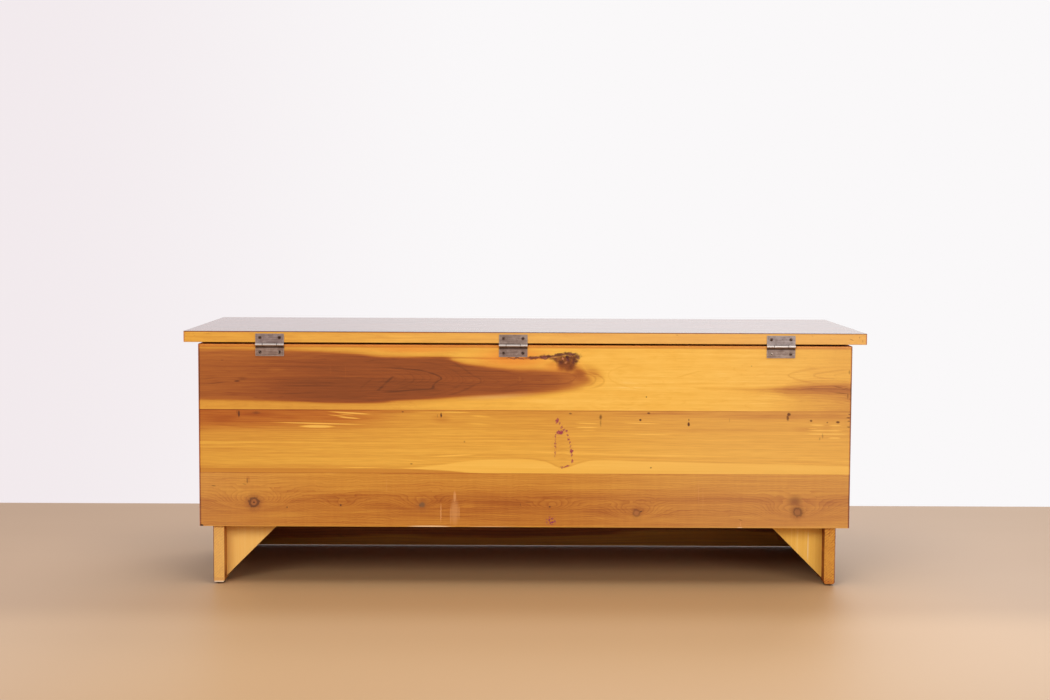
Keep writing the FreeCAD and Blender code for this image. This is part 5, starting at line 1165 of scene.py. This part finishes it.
# Painted highlights on two hinge screw heads.
SCREW_HIGHLIGHTS = ((442.7, 419.8, 3.6, 3.6, 0.3, 0.55), (-438.7, 419.8, 3.6, 3.6, 0.3, 0.65))
screw_steel = metal("screw_steel", srgb(82, 62, 54), srgb(134, 114, 104), 2.0, (0.42, 0.60), None,
                    srgb(48, 32, 26), SCREW_HIGHLIGHTS)
slot_dirt = metal("slot_dirt", srgb(34, 22, 18), srgb(58, 40, 32), 2.0, (0.6, 0.8))
small_steel = metal("small_screw_steel", srgb(120, 112, 100), srgb(186, 178, 164), 2.0, (0.28, 0.42))
dress(metal("stay_plating", srgb(150, 128, 86), srgb(196, 174, 124), 1.0, (0.26, 0.42), 2),
      "stay_arm", "stay_wall_stud", "stay_lid_bracket", "stay_rivet")
dress(metal("lock_steel", srgb(130, 126, 118), srgb(184, 180, 170), 1.0, (0.30, 0.46), 0),
      "lock_case", "lock_bolt", "lock_strike")
dress(metal("lock_brass", srgb(160, 118, 56), srgb(216, 172, 96), 1.5, (0.22, 0.38)),
      "lock_barrel", "lock_plug")
dress(metal("pin_steel", srgb(128, 116, 106), srgb(186, 174, 162), 1.0, (0.26, 0.40), 0), "hinge_pins")
dress(metal("glide_steel", srgb(66, 60, 54), srgb(120, 112, 102), 2.0, (0.4, 0.6)), "nail_glides")
dress(rubber(), "lid_bumpers")
print("materials so far:", len(bpy.data.materials))


# %% [markdown]
# ## Screws with slots
# A screw head starts as a filled circle. Two insets raise it into a low dome, four cuts mark out
# the slot, and the slot is pushed in. Then the rim is drawn down into the cone, the shank and the
# tip, each time by extruding the open edge loop and scaling it.

# %% One screw
HEAD_SIDES = 28
SLOT_HALF, SLOT_REACH = 0.20, 0.80
WELD = 1e-6  # corners closer than this are one


def domed_head(bm, head, dome):
    """A disc that faces -Z and rises to a dome."""
    bmesh.ops.create_circle(bm, cap_ends=True, cap_tris=False, segments=HEAD_SIDES, radius=head)
    bm.faces.ensure_lookup_table()
    bmesh.ops.recalc_face_normals(bm, faces=bm.faces)
    cap = bm.faces[0]
    if cap.normal.z > 0:
        bmesh.ops.reverse_faces(bm, faces=[cap])
    for share, rise in ((0.30, 0.62), (0.35, 0.38)):
        bmesh.ops.inset_individual(bm, faces=[cap], thickness=head * share, depth=0.0, use_even_offset=True)
        bmesh.ops.translate(bm, verts=cap.verts, vec=(0, 0, -dome * rise))


def new_verts(result):
    return [item for item in result["geom"] if isinstance(item, bmesh.types.BMVert)]


def cut_slot(bm, head, depth):
    """Cuts a slot along X into the head, and gives its walls and floor the second material."""
    half, reach = head * SLOT_HALF, head * SLOT_REACH
    for normal, offset in (((0, 1, 0), half), ((0, 1, 0), -half), ((1, 0, 0), reach), ((1, 0, 0), -reach)):
        bmesh.ops.bisect_plane(bm, geom=bm.verts[:] + bm.edges[:] + bm.faces[:],
                               plane_co=Vector(normal) * offset, plane_no=normal)
    middles = {face: face.calc_center_median() for face in bm.faces}
    well = [face for face, middle in middles.items() if abs(middle.y) < half and abs(middle.x) < reach]
    raised = bmesh.ops.extrude_face_region(bm, geom=well)
    bmesh.ops.translate(bm, verts=new_verts(raised), vec=(0, 0, depth))
    old = [face for face in well if face.is_valid]
    if old:
        bmesh.ops.delete(bm, geom=old, context="FACES_ONLY")
    for face in bm.faces:
        if face not in middles:
            face.material_index = 1


def open_edges(bm):
    return [edge for edge in bm.edges if edge.is_boundary]


def draw_down(bm, factor, drop):
    """Extrudes the open rim, scales it about Z and moves it along +Z."""
    verts = new_verts(bmesh.ops.extrude_edge_only(bm, edges=open_edges(bm)))
    bmesh.ops.scale(bm, verts=verts, vec=(factor, factor, 1.0))
    bmesh.ops.translate(bm, verts=verts, vec=(0, 0, drop))


def screw_shape(radius, head, cone, length, dome):
    """One screw along +Z with its head's rim at z = 0."""
    bm = bmesh.new()
    domed_head(bm, head, dome)
    cut_slot(bm, head, cone * 0.5 + dome)
    draw_down(bm, radius / head, cone)
    draw_down(bm, 1.0, length - 2 * radius - cone)
    draw_down(bm, 0.08, 2 * radius)
    bmesh.ops.holes_fill(bm, edges=open_edges(bm), sides=0)
    bmesh.ops.remove_doubles(bm, verts=bm.verts, dist=WELD)
    bmesh.ops.recalc_face_normals(bm, faces=bm.faces)
    return bm


# Radius, head radius, cone, length and dome, in metres
HINGE_SCREW = (1.6 * MM, 3.05 * MM, 1.5 * MM, 15 * MM, 0.25 * MM)
BATTEN_SCREW = (2.0 * MM, 4.0 * MM, 2.4 * MM, 26 * MM, 0.0)
SMALL_SCREW = (1.3 * MM, 2.6 * MM, 1.4 * MM, 10 * MM, 0.0)
sample = screw_shape(*HINGE_SCREW)
print("a hinge screw has", len(sample.faces), "faces and", len(open_edges(sample)), "open edges")
sample.free()


# %% [markdown]
# The places come from the CAD node that is replaced: its loose solids are told apart, and each
# one's box gives the middle of a head and the way the screw points.

# %% Find the screws of a node
def boxes_of(node):
    """Lowest and highest corner of each loose solid of a CAD node."""
    bm = bmesh.new()
    bm.from_mesh(nodes[node].data)
    bmesh.ops.remove_doubles(bm, verts=bm.verts, dist=WELD)
    left, found = set(bm.verts), []
    while left:
        stack, group = [left.pop()], []
        while stack:
            vert = stack.pop()
            group.append(vert.co.copy())
            near = {edge.other_vert(vert) for edge in vert.link_edges} & left
            left -= near
            stack.extend(near)
        found.append([Vector([end(co[axis] for co in group) for axis in range(3)]) for end in (min, max)])
    bm.free()
    return sorted(found, key=lambda pair: tuple(pair[0]))


# %% Set the screws
TURN = {
    "-y": Matrix.Rotation(math.radians(90), 4, "X"),
    "+x": Matrix.Rotation(math.radians(90), 4, "Y"),
    "+z": Matrix.Identity(4),
}


def head_middle(low, high, direction):
    """The middle of the head, which is at the start of the direction that the screw points in."""
    middle = (low + high) / 2
    axis = "xyz".index(direction[1])
    middle[axis] = low[axis] if direction[0] == "+" else high[axis]
    return middle


def place_screws(name, node, body, materials, sizes, direction_of):
    """Replace a node of plain screws by slotted ones in the same places, each turned its own way."""
    rng = random.Random(name)
    whole = bmesh.new()
    found = boxes_of(node)
    for low, high in found:
        direction = direction_of(low, high)
        one = screw_shape(*sizes)
        spin = Matrix.Rotation(rng.uniform(0, math.pi), 4, "Z")
        one.transform(Matrix.Translation(head_middle(low, high, direction)) @ TURN[direction] @ spin)
        copy = bpy.data.meshes.new("one_screw")
        one.to_mesh(copy)
        one.free()
        whole.from_mesh(copy)
        bpy.data.meshes.remove(copy)
    mesh = bpy.data.meshes.new(name)
    whole.to_mesh(mesh)
    whole.free()
    for material in materials:
        mesh.materials.append(material)
    made = bpy.data.objects.new(name, mesh)
    bpy.context.scene.collection.objects.link(made)
    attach(made, body)
    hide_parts(node)
    print(name, "has", len(found), "screws")


# Which way the screws of a node point
def forwards(low, high): return "-y"
def upwards(low, high): return "+z"
def by_place(low, high): return "+x" if high.x > 0.5 else "-y"


dull, bright = (screw_steel, slot_dirt), (small_steel, slot_dirt)
for name, node, body, slot, materials, sizes, direction_of in (
    ("hinge_screws_on_case", "hinge_screws_case", "case", "hinge_screw_steel", dull, HINGE_SCREW, forwards),
    ("hinge_screws_on_lid", "hinge_screws_lid", "lid", "hinge_screw_steel", dull, HINGE_SCREW, forwards),
    ("batten_screws_slotted", "batten_screws", "lid", "screw_steel", bright, BATTEN_SCREW, upwards),
    ("small_screws_on_case", "small_screws_case", "case", "screw_steel", bright, SMALL_SCREW, by_place),
    ("small_screws_on_lid", "small_screws_lid", "lid", "screw_steel", bright, SMALL_SCREW, upwards),
):
    place_screws(name, node, body, materials, sizes, direction_of)


# %% [markdown]
# ## Stage
# A pale floor takes the shadow. The wall behind glows by itself, so it stays pale without more
# light on the chest. It is clear from its other side, so a camera behind it still sees the chest.

# %% Floor and wall
SHEET_HALF = 9.0


def sheet(name, matrix):
    """A square of 18 m, placed by a matrix."""
    bm = bmesh.new()
    bmesh.ops.create_grid(bm, x_segments=1, y_segments=1, size=SHEET_HALF, matrix=matrix)
    mesh = bpy.data.meshes.new(name)
    bm.to_mesh(mesh)
    bm.free()
    made = bpy.data.objects.new(name, mesh)
    bpy.context.scene.collection.objects.link(made)
    return made


ground = sheet("ground", Matrix.Translation((0, 0, floor_level)))
net = new_material("pale_floor")
x, y, z = net.place()
pale = net.mix(net.noise((x * 0.8, y * 3.0, 0.0)), srgb(178, 147, 119), srgb(184, 154, 126))
aside = net.abs(x)
# Painted bounce light: the floor is warmer near and under the chest.
warm = net.smooth(y, -0.3, 0.15) * net.smooth(y, 2.0, 0.9) * net.smooth(aside, 0.95, 0.40)
# Painted light: the floor is lighter in a band between the chest and the camera.
lighter = net.smooth(y, 0.36, 0.56) * net.smooth(y, 1.3, 0.64) * net.smooth(aside, 2.0, 0.9)
colour = net.coats(pale, [(warm, srgb(178, 141, 100)), (lighter * 0.28, srgb(230, 196, 158))])
ground.data.materials.append(finish_material(net, Base_Color=colour, Roughness=0.5, Specular_IOR_Level=0.25))

WALL_Y, WALL_HALF_HEIGHT = -0.679, 4.05
squash = Matrix.Diagonal((1.0, WALL_HALF_HEIGHT / SHEET_HALF, 1.0, 1.0))
upright = Matrix.Rotation(math.radians(-90), 4, "X") @ squash
wall = sheet("wall", Matrix.Translation((0, WALL_Y, WALL_HALF_HEIGHT)) @ upright)
print("wall faces", tuple(round(value, 2) for value in wall.data.polygons[0].normal))

# %% Wall that glows on one side
wall_material = bpy.data.materials.new("pale_wall")
net = empty_net(wall_material)
x, y, z = net.place()
# The glow is dimmer towards +x: painted shade on the wall.
wall_glow = net.mix(net.smooth(x, 1.25, 0.0), srgb(242, 234, 237), srgb(250, 248, 249))
behind = Field(net, net.node("ShaderNodeNewGeometry").outputs["Backfacing"])
glow, clear = net.outputs("ShaderNodeEmission", wall_glow)[0], net.outputs("ShaderNodeBsdfTransparent")[0]
net.node("ShaderNodeOutputMaterial", net.outputs("ShaderNodeMixShader", behind, glow, clear)[0])
wall.data.materials.append(wall_material)
wall.visible_diffuse = False
wall.visible_shadow = False
wall.visible_transmission = False
wall.visible_volume_scatter = False

# %% [markdown]
# ## Light
# The world is white to the camera and to reflections, and dimmer as light. Four softboxes give the
# shape: a large key from one side of the back, a weaker fill from the other, one overhead that
# deepens the shadow under the case, and one for the front.

# %% World and softboxes
world = bpy.data.worlds.new("studio")
bpy.context.scene.world = world
net = empty_net(world)
path = net.node("ShaderNodeLightPath")
rays = ("Camera", "Glossy", "Transmission")
seen = net.strongest([Field(net, path.outputs[f"Is {ray} Ray"]) for ray in rays])
sky = net.outputs("ShaderNodeBackground", srgb(246, 243, 244), seen * 0.72 + 0.28)[0]
net.node("ShaderNodeOutputWorld", sky)


def softbox(name, place, target, size, power, mirrored=True):
    """A rectangular lamp that faces its target. It is mirrored if gloss shows it."""
    lamp = bpy.data.lights.new(name, "AREA")
    lamp.shape = "RECTANGLE"
    lamp.size, lamp.size_y = size
    lamp.energy = power
    made = bpy.data.objects.new(name, lamp)
    made.location = place
    made.visible_glossy = mirrored
    made.rotation_mode = "QUATERNION"
    made.rotation_quaternion = (Vector(target) - Vector(place)).to_track_quat("-Z", "Y")
    bpy.context.scene.collection.objects.link(made)


softbox("key", (1.5, 3.6, 2.2), (0.0, 0.1, 0.25), (2.0, 1.5), 72, mirrored=False)
softbox("fill", (-1.9, 3.3, 1.7), (0.0, 0.1, 0.25), (1.8, 1.4), 38)
softbox("overhead", (0.0, 0.75, 3.0), (0.0, 0.6, 0.0), (2.6, 1.8), 50, mirrored=False)
softbox("front_fill", (-1.0, -3.2, 2.8), (0.0, 0.0, 0.2), (2.6, 1.8), 86)
print("lamps:", len(bpy.data.lights))

# %% [markdown]
# ## Camera
# It stands behind the chest, a little above its lid, and looks slightly down. Its turn is worked
# out from three small angles, as a surveyor would note them.

# %% Camera
STAND = (0.0169, 3.35095, 0.6627)
YAW, PITCH, ROLL = 0.00507, 0.0755, 0.0047
SENSOR, LENS = 36, 60.48  # both in millimetres
forward = Vector((-math.sin(YAW) * math.cos(PITCH), -math.cos(YAW) * math.cos(PITCH), -math.sin(PITCH)))
right = Vector((-math.cos(YAW), math.sin(YAW), 0.0))
up = right.cross(forward)
turned_right = right * math.cos(ROLL) + up * math.sin(ROLL)
turned_up = up * math.cos(ROLL) - right * math.sin(ROLL)
camera_data = bpy.data.cameras.new("camera")
camera_data.sensor_fit = "HORIZONTAL"
camera_data.sensor_width = SENSOR
camera_data.lens = LENS
camera = bpy.data.objects.new("camera", camera_data)
bpy.context.scene.collection.objects.link(camera)
turned = Matrix((turned_right, turned_up, -forward)).transposed().to_4x4()
camera.matrix_world = Matrix.Translation(STAND) @ turned
bpy.context.scene.camera = camera
bpy.context.scene.view_settings.view_transform = "Standard"
print("camera stands", round(camera.location.y - rear, 3), "m behind the chest")
